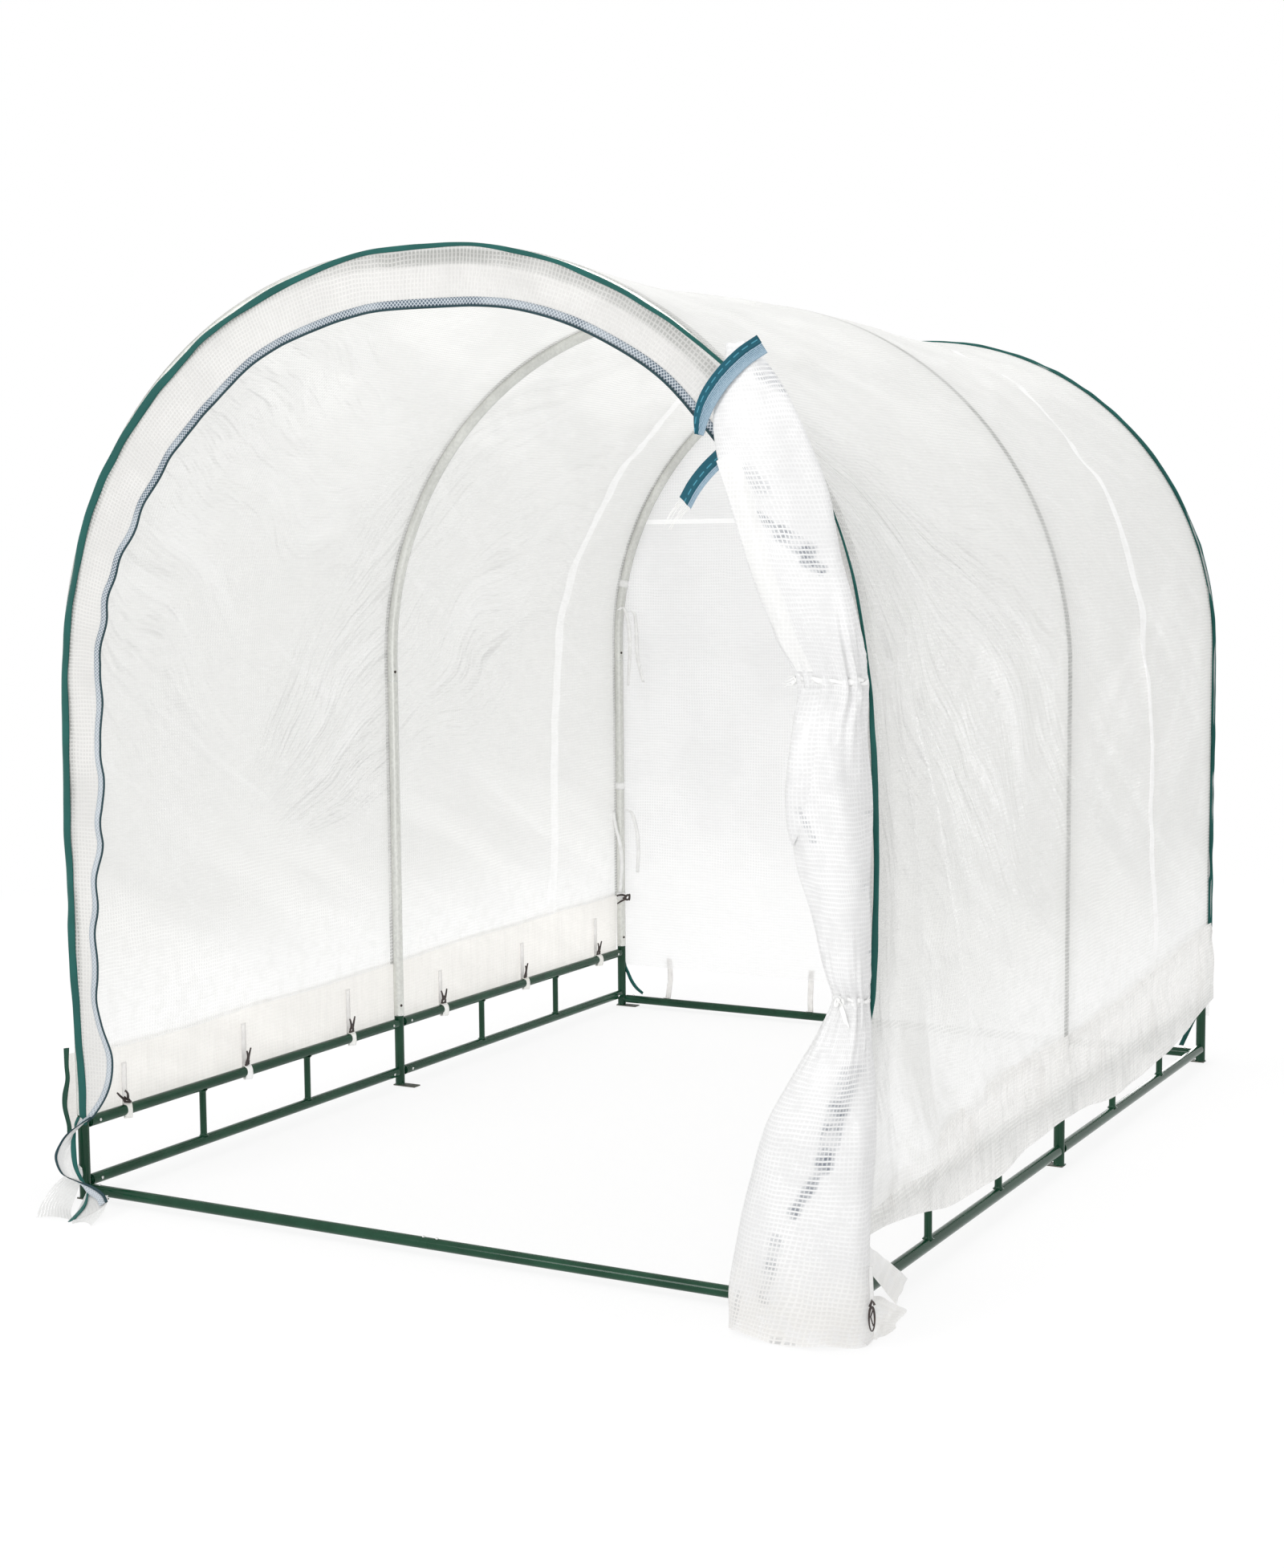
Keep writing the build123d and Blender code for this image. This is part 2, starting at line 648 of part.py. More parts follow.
def main():
    os.makedirs("parts", exist_ok=True)
    for side_name, side in SIDES.items():
        for index, place in enumerate(PLACES):
            write(f"{place}_{side_name}_post", post(side, index))
        write(f"{side_name}_top_rails", rails(side, TOP_RAIL_Z))
        write(f"{side_name}_bottom_rails", rails(side, BOTTOM_RAIL_Z))
        write(f"{side_name}_balusters", balusters(side))
    write("foot_plates", [foot_plate(side, y) for side in SIDES.values() for y in ARCH_YS])
    write("front_ground_bar", end_bar(FRONT_Y))
    write("rear_ground_bar", end_bar(REAR_Y))
    for place, y in zip(PLACES, ARCH_YS):
        write(f"{place}_arch_legs", arch_legs(y))
        write(f"{place}_arch_bends", arch_bends(y))

    write("cover_left_wall", cover_wall(SIDES["left"], LEFT_SEAM_Z))
    write("cover_right_wall", cover_wall(SIDES["right"], RIGHT_SEAM_Z))
    write("cover_left_shoulder", cover_shoulder(SIDES["left"]))
    write("cover_right_shoulder", cover_shoulder(SIDES["right"]))
    write("left_skirt", left_skirt())
    write("right_skirt", right_skirt())
    write("front_band_sides", front_band_sides())
    write("front_band_arch", arch_plate(FILM_OUT, BAND_IN, SPRING_Z, *FRONT_FILM))
    write("front_zip", zip_strip(FRONT_FILM, FRONT_BAND_BOTTOM))
    write("front_piping", piping(FRONT_FILM))
    write("rear_band", arch_plate(FILM_OUT, BAND_IN, REAR_HEM_Z, *REAR_FILM))
    write("rear_zip", zip_strip(REAR_FILM, REAR_HEM_Z))
    write("rear_door", arch_plate(ZIP_IN - SEAT, None, REAR_HEM_Z, *REAR_FILM))
    write("rear_piping", piping(REAR_FILM))

    write("door_flap", door_flap())
    write("door_ties", door_ties())
    write("flap_zip_tape", flap_zip_tape())
    write("front_zip_tail", front_zip_tail())
    write("rear_zip_tail", rear_zip_tail())
    write("rail_straps", rail_straps())
    write("rear_straps", rear_straps())
    write("snap_hooks", snap_hooks())
    write("arch_loops", arch_loops())
    write("tie_tapes", tie_tapes())


main()
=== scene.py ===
"""Looks of the walk-in polytunnel greenhouse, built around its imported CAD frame."""

import math

import bpy
import numpy as np
from mathutils import Matrix, Vector


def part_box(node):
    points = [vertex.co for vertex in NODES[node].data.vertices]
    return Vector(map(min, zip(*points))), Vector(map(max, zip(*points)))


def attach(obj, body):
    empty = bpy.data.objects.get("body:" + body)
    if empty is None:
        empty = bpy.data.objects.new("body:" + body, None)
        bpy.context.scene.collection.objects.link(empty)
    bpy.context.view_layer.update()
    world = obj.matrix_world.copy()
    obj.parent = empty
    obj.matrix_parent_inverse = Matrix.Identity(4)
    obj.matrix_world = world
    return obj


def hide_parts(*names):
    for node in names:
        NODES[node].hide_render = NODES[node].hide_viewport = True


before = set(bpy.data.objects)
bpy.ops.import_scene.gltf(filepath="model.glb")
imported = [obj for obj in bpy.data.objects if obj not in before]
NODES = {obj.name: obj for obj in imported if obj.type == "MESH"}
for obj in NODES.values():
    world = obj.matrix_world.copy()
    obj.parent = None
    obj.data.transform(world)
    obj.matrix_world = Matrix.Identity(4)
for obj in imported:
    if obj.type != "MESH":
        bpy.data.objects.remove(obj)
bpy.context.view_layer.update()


# ---- Where the CAD frame stands, in metres -------------------------------------------------------
def middle(node):
    """The middle of a CAD node's box."""
    low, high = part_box(node)
    return (low + high) / 2


TUBE_R = 0.013  # of the arches
POST_R = 0.0125  # of the posts and rails
FRONT_Y, MIDDLE_Y, REAR_Y = (
    middle(f"{place}_arch_legs").y for place in ("front", "middle", "rear")
)
ARCH_YS = (FRONT_Y, MIDDLE_Y, REAR_Y)
BAY = MIDDLE_Y - FRONT_Y
HALF_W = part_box("front_arch_legs")[1].x - TUBE_R
CROWN_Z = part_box("front_arch_bends")[1].z - TUBE_R
CROWN_HALF = 0.062  # half the straight part over the crown
BEND_R = HALF_W - CROWN_HALF
SPRING_Z = CROWN_Z - BEND_R
LEG_BASE_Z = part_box("front_arch_legs")[0].z
LEG_TOP_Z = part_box("front_arch_legs")[1].z
TOP_RAIL_Z = middle("left_top_rails").z
LOW_RAIL_Z = middle("left_bottom_rails").z
END_BAR_Z = middle("front_ground_bar").z
FILM = 0.0145  # tube centre to film
FILM_R = BEND_R + FILM
ARC = FILM_R * math.pi / 2
CROWN_S = SPRING_Z + ARC + CROWN_HALF  # along the film, from the ground to the crown
FILM_S = 2 * CROWN_S
FRONT_FILM_Y = FRONT_Y - FILM
REAR_FILM_Y = REAR_Y + FILM


# ---- Numbers and curves --------------------------------------------------------------------------
def ease(t):
    """From 0 to 1, slow at both ends, and level beyond them."""
    t = np.clip(t, 0, 1)
    return t * t * (3 - 2 * t)


def curve(at, knots, values):
    """A smooth curve through values (numbers or points) at the given knots."""
    knots = np.asarray(knots, float)
    values = np.asarray(values, float)
    at = np.asarray(at, float)
    slopes = np.gradient(values, knots, axis=0)
    i = np.clip(np.searchsorted(knots, at) - 1, 0, len(knots) - 2)
    step = knots[i + 1] - knots[i]
    t = np.clip((at - knots[i]) / step, 0, 1)
    if values.ndim > 1:
        t = t[..., None]
        step = step[..., None]
    start = values[i] * (1 + 2 * t) * (1 - t) ** 2 + slopes[i] * step * t * (1 - t) ** 2
    end = values[i + 1] * t * t * (3 - 2 * t) + slopes[i + 1] * step * t * t * (t - 1)
    return start + end


def noise(u, v, seed):
    """Smooth noise from -1 to 1, with one bump per unit."""
    iu, iv = np.floor(u), np.floor(v)
    fu, fv = ease(u - iu), ease(v - iv)

    def corner(du, dv):
        wave = np.sin((iu + du) * 127.1 + (iv + dv) * 311.7 + seed * 74.7) * 43758.5453
        return wave - np.floor(wave)

    low = corner(0, 0) * (1 - fu) + corner(1, 0) * fu
    high = corner(0, 1) * (1 - fu) + corner(1, 1) * fu
    return (low * (1 - fv) + high * fv) * 2 - 1


def turned(u, v, degrees):
    """The coordinates u and v seen in axes turned by some degrees."""
    c, s = math.cos(math.radians(degrees)), math.sin(math.radians(degrees))
    return u * c + v * s, -u * s + v * c


def creases(u, v, degrees, long, wide, seed):
    """Noise drawn out along one direction, with sharp crests as film has."""
    along, across = turned(u, v, degrees)
    return 0.6 - 1.4 * np.abs(noise(along / long, across / wide, seed))


def arch_line(s, lift=0.0):
    """x, z and the outward normal on the film's arch line, which starts at the left foot."""
    s = np.asarray(s, float)
    half = np.where(s > CROWN_S, FILM_S - s, s)
    side = np.where(s > CROWN_S, 1.0, -1.0)
    turn = np.clip((half - SPRING_Z) / FILM_R, 0, math.pi / 2)
    flat = np.clip(half - SPRING_Z - ARC, 0, CROWN_HALF)
    nx, nz = np.cos(turn), np.sin(turn)
    x = CROWN_HALF - flat + (FILM_R + lift) * nx
    z = np.minimum(half, SPRING_Z) + (FILM_R + lift) * nz
    return side * x, z, side * nx, nz


def outline_x(z):
    """Half the width of the film cover at a height."""
    rise = np.clip(np.asarray(z, float) - SPRING_Z, 0, FILM_R)
    return CROWN_HALF + np.sqrt(np.maximum(FILM_R**2 - rise**2, 0))


def stack(*parts):
    """Arrays or numbers side by side, as the last axis of one array."""
    return np.stack(np.broadcast_arrays(*parts), axis=-1)


def lattice(rows, columns):
    """The two parameters of a grid, each as an array of its shape."""
    return np.meshgrid(rows, columns, indexing="ij")


def arc_lengths(points):
    """Distance run along a list of points."""
    steps = np.linalg.norm(np.diff(points, axis=0), axis=1)
    return np.concatenate([[0], np.cumsum(steps)])


# ---- Meshes --------------------------------------------------------------------------------------
def grid_faces(rows, columns, wrap):
    """The four corner numbers of each face of a grid of points."""
    index = np.arange(rows * columns).reshape(rows, columns)
    if wrap:
        index = np.concatenate([index, index[:, :1]], axis=1)
    corners = [index[:-1, :-1], index[1:, :-1], index[1:, 1:], index[:-1, 1:]]
    return np.stack(corners, axis=-1).reshape(-1, 4)


class Build:
    """Gathers grids of faces and makes one object of them."""

    def __init__(self):
        self.points, self.faces, self.uvs = [], [], []
        self.count = 0

    def grid(self, points, uv, wrap=False, flip=False):
        """Adds an (n, m, 3) grid; uv is (n, m, 2), or (n, m + 1, 2) where it wraps."""
        rows, columns = points.shape[:2]
        faces = grid_faces(rows, columns, wrap)
        corners = grid_faces(rows, uv.shape[1], False)
        if flip:
            faces, corners = faces[:, ::-1], corners[:, ::-1]
        self.points.append(points.reshape(-1, 3))
        self.uvs.append(uv.reshape(-1, 2)[corners.reshape(-1)])
        self.faces += [tuple(face) for face in (faces + self.count).tolist()]
        self.count += rows * columns
        return self

    def cap(self, ring, flip=False):
        """Closes a tube with one face over a ring of points."""
        face = tuple(range(self.count, self.count + len(ring)))
        self.points.append(ring)
        self.uvs.append(ring[:, :2] if not flip else ring[::-1, :2])
        self.faces.append(face[::-1] if flip else face)
        self.count += len(ring)

    def make(self, name, material):
        """One smooth object of all that was gathered."""
        mesh = bpy.data.meshes.new(name)
        mesh.from_pydata(np.concatenate(self.points).tolist(), [], self.faces)
        layer = mesh.uv_layers.new(name="cloth")
        layer.data.foreach_set("uv", np.concatenate(self.uvs).astype(np.float32).reshape(-1))
        mesh.materials.append(material)
        mesh.polygons.foreach_set("use_smooth", [True] * len(mesh.polygons))
        mesh.update()
        piece = bpy.data.objects.new(name, mesh)
        bpy.context.scene.collection.objects.link(piece)
        return piece


def thicken(piece, thickness):
    """Gives a sheet a thickness, half of it on either side."""
    modifier = piece.modifiers.new("thickness", "SOLIDIFY")
    modifier.thickness = thickness
    modifier.offset = 0
    return piece


def place(piece, slot, replaces=()):
    """The piece rides on the one body and hides the solids it stands for; slot is not used."""
    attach(piece, "root")
    if replaces:
        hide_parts(*replaces)


def ribbon_grid(edge_a, edge_b, rows, columns, bow):
    """A strip between two edges, each a list of points that a smooth curve goes through."""
    t = np.linspace(0, 1, rows)
    a, b = (curve(t, np.linspace(0, 1, len(edge)), edge) for edge in (edge_a, edge_b))
    across = np.linspace(0, 1, columns)
    points = a[:, None] + (b - a)[:, None] * across[None, :, None]
    normal = np.cross(np.gradient((a + b) / 2, axis=0), b - a)
    normal /= np.linalg.norm(normal, axis=1, keepdims=True) + 1e-9
    points += normal[:, None] * (bow * np.sin(np.pi * across))[None, :, None]
    run = arc_lengths((a + b) / 2)
    width = np.linalg.norm(b - a, axis=1)
    uv = stack(run[:, None], width[:, None] * across)
    return points, uv


def tape_piece(
    name, edge_a, edge_b, material, flat, rests_on, held="hung", slot="end_film", thick=0.0,
    rows=50, columns=4, bow=0.0, replaces=(),
):
    """A strip between two edges, which bows out of its plane between them."""
    strip = Build().grid(*ribbon_grid(edge_a, edge_b, rows, columns, bow))
    piece = strip.make(name, material)
    if thick > 0:
        thicken(piece, thick)
    place(piece, slot, replaces)


def add_tube(build, path, radius, sides=10, flat=1.0, up=(0, 0, 1)):
    """A closed tube along points; radius is one number or one per point."""
    path = np.asarray(path, float)
    along = np.gradient(path, axis=0)
    along /= np.linalg.norm(along, axis=1, keepdims=True)
    side = np.cross(along, up)
    side /= np.linalg.norm(side, axis=1, keepdims=True) + 1e-9
    over = np.cross(side, along)
    angle = np.linspace(0, 2 * np.pi, sides, endpoint=False)
    radius = np.broadcast_to(radius, (len(path),))[:, None, None]
    ring = side[:, None] * np.cos(angle)[None, :, None]
    ring = ring + over[:, None] * np.sin(angle)[None, :, None] * flat
    points = path[:, None] + ring * radius
    turn = np.linspace(0, 1, sides + 1)
    uv = stack(arc_lengths(path)[:, None], turn * 2 * np.pi * radius[:, :, 0])
    build.grid(points, uv, wrap=True)
    build.cap(points[0])
    build.cap(points[-1], flip=True)


def add_lathe(build, centre, axis, profile, sides=16):
    """A turned form; profile is a list of (distance along the axis, radius)."""
    axis = np.asarray(axis, float)
    helper = np.array([0, 0, 1.0]) if abs(axis[2]) < 0.9 else np.array([1.0, 0, 0])
    side = np.cross(axis, helper)
    side /= np.linalg.norm(side)
    over = np.cross(axis, side)
    angle = np.linspace(0, 2 * np.pi, sides, endpoint=False)
    ring = np.cos(angle)[:, None] * side + np.sin(angle)[:, None] * over
    along, radius = np.array(profile).T
    points = np.asarray(centre, float) + along[:, None, None] * axis
    points = points + radius[:, None, None] * ring[None]
    turn = np.linspace(0, 1, sides + 1)
    uv = stack(along[:, None], turn * 2 * np.pi * radius[:, None])
    build.grid(points, uv, wrap=True, flip=True)


# ---- Materials -----------------------------------------------------------------------------------
def linear(red, green, blue):
    """A colour given in 0 to 255 as the shader wants it."""

    def one(value):
        value /= 255
        return value / 12.92 if value <= 0.04045 else ((value + 0.055) / 1.055) ** 2.4

    return (one(red), one(green), one(blue), 1)


class Tree:
    """A material's or a world's nodes, with short calls for the sums in them."""

    def __init__(self, name, home=bpy.data.materials, output="ShaderNodeOutputMaterial"):
        self.owner = home.new(name)
        self.owner.use_nodes = True
        self.nodes = self.owner.node_tree.nodes
        self.links = self.owner.node_tree.links
        self.nodes.clear()
        self.out = self.nodes.new(output)

    def node(self, kind, inputs=(), **settings):
        made = self.nodes.new(kind)
        for key, value in settings.items():
            setattr(made, key, value)
        for key, value in dict(inputs).items():
            self.feed(made.inputs[key], value)
        return made

    def feed(self, socket, value):
        if isinstance(value, bpy.types.NodeSocket):
            self.links.new(value, socket)
        else:
            socket.default_value = value

    def math(self, operation, a, b=0.0, c=0.0):
        return self.node("ShaderNodeMath", {0: a, 1: b, 2: c}, operation=operation).outputs[0]

    def vector(self, operation, *inputs):
        made = self.node("ShaderNodeVectorMath", operation=operation)
        for number, value in enumerate(inputs):
            self.feed(made.inputs[number], value)
        number = operation in ("DOT_PRODUCT", "DISTANCE", "LENGTH")
        return made.outputs["Value" if number else "Vector"]

    def span(self, value, low, high, to_low=0.0, to_high=1.0):
        """Goes smoothly from to_low to to_high while the value goes from low to high."""
        names = ("Value", "From Min", "From Max", "To Min", "To Max")
        inputs = dict(zip(names, (value, low, high, to_low, to_high)))
        made = self.node("ShaderNodeMapRange", inputs, interpolation_type="SMOOTHSTEP")
        return made.outputs[0]

    def flat(self):
        return self.node("ShaderNodeUVMap", uv_map="cloth").outputs[0]

    def cloth(self):
        """The two flat coordinates of a sheet, in metres."""
        parts = self.node("ShaderNodeSeparateXYZ", {0: self.flat()})
        return parts.outputs[0], parts.outputs[1]

    def position(self):
        return self.node("ShaderNodeTexCoord").outputs["Object"]

    def height(self):
        return self.node("ShaderNodeSeparateXYZ", {"Vector": self.position()}).outputs["Z"]

    def noise(self, where, scale, detail=2.0, roughness=0.5, stretch=None, lean=0.0):
        if stretch:
            leant = self.node("ShaderNodeMapping", {"Vector": where, "Rotation": (lean, 0, 0)})
            inputs = {"Vector": leant.outputs[0], "Scale": stretch}
            where = self.node("ShaderNodeMapping", inputs).outputs[0]
        made = self.node(
            "ShaderNodeTexNoise",
            {"Vector": where, "Scale": scale, "Detail": detail, "Roughness": roughness},
        )
        return made.outputs[0]

    def blend(self, factor, a, b):
        made = self.node("ShaderNodeMix", {"Factor": factor}, data_type="RGBA")
        self.feed(made.inputs[6], a)
        self.feed(made.inputs[7], b)
        return made.outputs[2]

    def bump(self, height, distance, strength=1.0, before=None):
        made = self.node(
            "ShaderNodeBump", {"Height": height, "Distance": distance, "Strength": strength}
        )
        if before is not None:
            self.feed(made.inputs["Normal"], before)
        return made.outputs[0]

    def mix(self, factor, a, b):
        made = self.node("ShaderNodeMixShader")
        self.feed(made.inputs[0], factor)
        self.feed(made.inputs[1], a)
        self.feed(made.inputs[2], b)
        return made.outputs[0]

    def principled(self, **inputs):
        names = {key.replace("_", " "): value for key, value in inputs.items()}
        return self.node("ShaderNodeBsdfPrincipled", names).outputs[0]

    def done(self, shader):
        self.links.new(shader, self.out.inputs["Surface"])
        return self.owner


WHITE = (1, 1, 1, 1)
GRID = 0.0086  # one cell of the scrim in the film


def threads(tree, value, width, soft=0.16):
    """1 on the scrim's threads that cross the value's direction, 0 in the cells."""
    wave = tree.math("PINGPONG", value, GRID / 2)
    edge = GRID / 2 * width
    return tree.span(wave, edge * (1 + soft), edge * (1 - soft))


def film_material(
    name, colour, clear=0.10, through=0.42, level="v", gloss=0.32, scrim=0.055, fold_shading=0.5,
    height_shading=0.0, pleat_shading=0.0, glints_and_crinkle=0.0, thin_low=0.0, fans=(), doubled=None, tube_shade=None,
    shade_spots=None,
):
    """
    Film with a woven scrim in it. clear is the share that is a hole, and through the share of the
    light that the rest lets through. level names the cloth axis that runs up the wall, whose
    threads show most, and scrim says how dark they are. The other numbers are strengths:
    fold_shading of painted shade in slanting folds and of painted highlights on creases,
    height_shading of painted shade half-way up and of painted light at the foot, pleat_shading of
    painted shade along fine upright pleats, glints_and_crinkle of painted glints on the threads, of
    painted shade in crinkles and of a deeper bump, and thin_low of the clearer foot. Each of fans
    is what fan_folds takes; its folds get painted shade and painted highlights. doubled, tube_shade
    and shade_spots take (tree, u, v): doubled gives 1 where two layers are welded, tube_shade how
    strong the painted shade of a tube pressing on the film is, and shade_spots how strong the
    painted shade of the folds inside is in the cells; where shade_spots is given, the foot also
    gets painted shade.
    """
    tree = Tree(name)
    u, v = tree.cloth()
    where = tree.position()

    def dulled(share):
        return linear(*[c * (1 - share) for c in colour])

    sway = tree.math("MULTIPLY_ADD", tree.noise(where, 14.0, 2.0), 0.011, -0.0055)
    up, round_ = (u, v) if level == "u" else (v, u)
    level_threads = threads(tree, tree.math("ADD", up, sway), 0.40, 0.5)
    upright_threads = threads(tree, tree.math("SUBTRACT", round_, sway), 0.34, 0.4)
    cloud = tree.noise(where, 4.0, 3.0)
    upright = tree.math("MULTIPLY", upright_threads, tree.span(cloud, 0.36, 0.56, 0.45, 1.0))
    net = tree.math("MAXIMUM", level_threads, upright)
    cells = tree.math("SUBTRACT", 1.0, net)
    opening = tree.math("MULTIPLY", tree.span(cloud, 0.35, 0.7, clear * 0.6, clear * 1.4), cells)
    tint = tree.blend(net, dulled(scrim), linear(*colour))
    # Painted shade in long slanting bands where slack film folds, with painted highlights along a
    # few creases; painted shade half-way up and painted light near the foot.
    streak = tree.noise(where, 5.0, 4.0, 0.55, stretch=(1.0, 0.17, 1.0), lean=0.45)
    fold_shade = tree.math("MULTIPLY", tree.span(streak, 0.60, 0.40), fold_shading)
    height = tree.height()
    if thin_low:
        opening = tree.math("MAXIMUM", opening, tree.span(height, 0.5, 0.14, 0.0, thin_low))
    mid_height_shade = tree.span(height, 2.0, 1.45, 0.0, height_shading)
    mid_height_shade = tree.math("MULTIPLY", tree.span(height, 0.42, 0.95), mid_height_shade)
    tint = tree.blend(tree.math("ADD", fold_shade, mid_height_shade), tint, dulled(0.07))
    bright = linear(*[min(c + 10, 254) for c in colour])
    tint = tree.blend(tree.span(height, 0.62, 0.32, 0.0, min(height_shading, 0.7)), tint, bright)
    crease = tree.noise(where, 20.0, 3.0, 0.5, stretch=(1.0, 0.05, 1.0), lean=0.55)
    crease = tree.span(crease, 0.60, 0.72, 0.0, fold_shading * 0.22)
    tint = tree.blend(crease, tint, bright)
    normal = tree.bump(level_threads, 0.0005, 0.7)
    normal = tree.bump(streak, 0.03, 0.45, normal)
    normal = tree.bump(crease, 0.004, 0.5, normal)
    normal = tree.bump(tree.noise(where, 42.0, 4.0, 0.62), 0.0022 * (1 + glints_and_crinkle), 0.5, normal)
    # Each fan's folds get painted shade on one side and painted highlights on the other, besides
    # their bump.
    for spot in fans:
        fold = fan_folds(tree, u, v, *spot)
        tint = tree.blend(tree.span(fold, 0.0, 0.22, 0.0, 0.9), tint, dulled(0.075))
        tint = tree.blend(tree.span(fold, -0.04, -0.30, 0.0, 0.2), tint, bright)
        normal = tree.bump(fold, 0.035, 0.9, normal)
    # Painted shade along fine upright pleats, besides their bump.
    if pleat_shading:
        fold = tree.noise(tree.flat(), 26.0, 3.0, 0.6, stretch=(1.0, 0.16, 1.0))
        tint = tree.blend(tree.span(fold, 0.56, 0.38, 0.0, pleat_shading), tint, dulled(0.13))
        normal = tree.bump(fold, 0.012, 0.8, normal)
    # Painted shade in the cells where the folds inside lie, and painted shade towards the foot.
    if shade_spots:
        dark = tree.math("MULTIPLY", shade_spots(tree, u, v), cells)
        tint = tree.blend(dark, tint, linear(122, 129, 140))
        tint = tree.blend(tree.span(height, 0.20, 0.02, 0.0, 0.6), tint, linear(232, 230, 226))
    # Painted shade of the tubes pressing on the film, stronger in the cells than on the threads.
    if tube_shade:
        seen = tree.math("MULTIPLY", tube_shade(tree, u, v), tree.math("MULTIPLY_ADD", net, -0.6, 0.9))
        tint = tree.blend(seen, tint, linear(170, 171, 168))
    if doubled:
        welded = doubled(tree, u, v)
        opening = tree.math("MULTIPLY", opening, tree.math("SUBTRACT", 1.0, welded))
        tint = tree.blend(welded, tint, bright)
    # Painted shade in crinkles and painted glints, white on the threads in patches.
    if glints_and_crinkle:
        glint = tree.span(tree.noise(where, 190.0, 3.0, 0.7), 0.56, 0.64)
        glint = tree.math("MULTIPLY", glint, net)
        crinkle = tree.span(tree.noise(where, 26.0, 5.0, 0.66), 0.47, 0.60, 0.0, glints_and_crinkle * 0.7)
        tint = tree.blend(crinkle, tint, dulled(0.05))
        patch = tree.span(tree.noise(where, 7.0, 3.0), 0.44, 0.60, 0.0, glints_and_crinkle)
        tint = tree.blend(tree.math("MULTIPLY", glint, patch), tint, WHITE)
    front = tree.principled(Base_Color=tint, Roughness=gloss, Specular_IOR_Level=0.4, Normal=normal)
    back = tree.node("ShaderNodeBsdfTranslucent", {"Color": tint, "Normal": normal}).outputs[0]
    body = tree.mix(through, front, back)
    film = tree.mix(opening, body, tree.node("ShaderNodeBsdfTransparent").outputs[0])
    # A lamp's shadow takes the film's even average, which renders faster than its cells do.
    shadow = tree.node("ShaderNodeLightPath").outputs["Is Shadow Ray"]
    even = tree.node("ShaderNodeBsdfTransparent", {"Color": (clear, clear, clear, 1)}).outputs[0]
    return tree.done(tree.mix(shadow, film, even))


def fan_folds(tree, u, v, from_u, from_v, reach, facing, spread):
    """Folds, about -0.5 to 0.5, that fan out from one point within spread degrees of facing."""
    across, along = tree.math("SUBTRACT", u, from_u), tree.math("SUBTRACT", v, from_v)
    bend = tree.math("MULTIPLY_ADD", tree.noise(tree.position(), 1.6, 1.0), 0.36, -0.18)
    angle = tree.math("ADD", tree.math("ARCTAN2", across, along), bend)
    squares = [tree.math("MULTIPLY", side, side) for side in (across, along)]
    far = tree.math("SQRT", tree.math("ADD", *squares))
    drawn_out = tree.math("MULTIPLY", far, 0.12)
    spot = tree.node("ShaderNodeCombineXYZ", {"X": angle, "Y": drawn_out, "Z": from_u})
    fold = tree.math("SUBTRACT", tree.noise(spot.outputs[0], 9.0, 4.0, 0.58), 0.5)
    near = tree.math("MULTIPLY", tree.span(far, 0.20, 0.55), tree.span(far, reach, reach * 0.55))
    off = tree.math("ABSOLUTE", tree.math("SUBTRACT", angle, math.radians(facing)))
    inside = tree.span(off, math.radians(spread), math.radians(spread * 0.45))
    near = tree.math("MULTIPLY", near, inside)
    return tree.math("MULTIPLY", fold, tree.math("MULTIPLY", near, 1.6))


def line_mask(tree, distance, half, soft=0.002):
    """1 within half of a line, from a signed distance."""
    return tree.span(tree.math("ABSOLUTE", distance), half + soft, half)


# The ring seam where the two lengths of the cover are welded: (along the film, y).
SEAM_S = (0.30, 0.79, 1.03, 1.34, 1.60, 2.05, 2.55, 3.10, 3.55, 3.94, 4.02, 4.32, 4.72, 5.0)
SEAM_Y = (2.03, 2.07, 2.09, 2.14, 2.19, 2.12, 2.02, 1.90, 1.80, 1.80, 1.855, 1.89, 1.947, 1.96)


def cover_seam(tree, u, v):
    """1 on the cover's ring seam; u runs along the arch and v is y."""
    made = tree.node("ShaderNodeFloatCurve", {"Value": tree.math("DIVIDE", u, FILM_S)})
    line = made.mapping.curves[0]
    for i, (s, y) in enumerate(zip(SEAM_S, SEAM_Y)):
        spot = (s / FILM_S, (y - 1.7) / 0.6)
        if i < 2:
            line.points[i].location = spot
        else:
            line.points.new(*spot)
    made.mapping.update()
    seam = tree.math("MULTIPLY_ADD", made.outputs[0], 0.6, 1.7 + FRONT_Y)
    off = tree.math("MULTIPLY", tree.math("SUBTRACT", v, seam), tree.span(u, 1.2, 3.0, 0.62, 0.72))
    strength = tree.span(u, 1.2, 3.0, 0.6, 0.8)
    return tree.math("MULTIPLY", line_mask(tree, off, 0.011, 0.004), strength)


def rear_seam(tree, u, v):
    """1 on the level seam of the rear wall; v is its height."""
    return line_mask(tree, tree.math("SUBTRACT", v, 1.5), 0.006)


def tube_shadows(tree, u, v):
    """How strong the painted shade of the three arches is where they press on the cover; v is y
    there.
    """
    total = None
    for arch_y, half in ((FRONT_Y + 0.008, 0.019), (MIDDLE_Y, 0.013), (REAR_Y, 0.012)):
        near = line_mask(tree, tree.math("SUBTRACT", v, arch_y), half, 0.004)
        if arch_y < MIDDLE_Y - BAY / 2:
            near = tree.math("MULTIPLY", near, tree.span(u, 3.95, 3.45, 0.1, 1.0))
            near = tree.math("MULTIPLY", near, tree.span(u, 2.2, 2.7))
        total = near if total is None else tree.math("MAXIMUM", total, near)
    patchy = tree.span(tree.noise(tree.position(), 3.2, 2.0), 0.34, 0.6, 0.45, 0.95)
    return tree.math("MULTIPLY", total, patchy)


def band_tube_shadow(tree, u, v):
    """How strong the painted shade of the first arch is on its band; v is the depth from the film's
    edge.
    """
    near = line_mask(tree, tree.math("SUBTRACT", v, 0.023), 0.011, 0.006)
    patchy = tree.span(tree.noise(tree.position(), 4.5, 2.0), 0.36, 0.58, 0.35, 1.0)
    return tree.math("MULTIPLY", near, patchy)
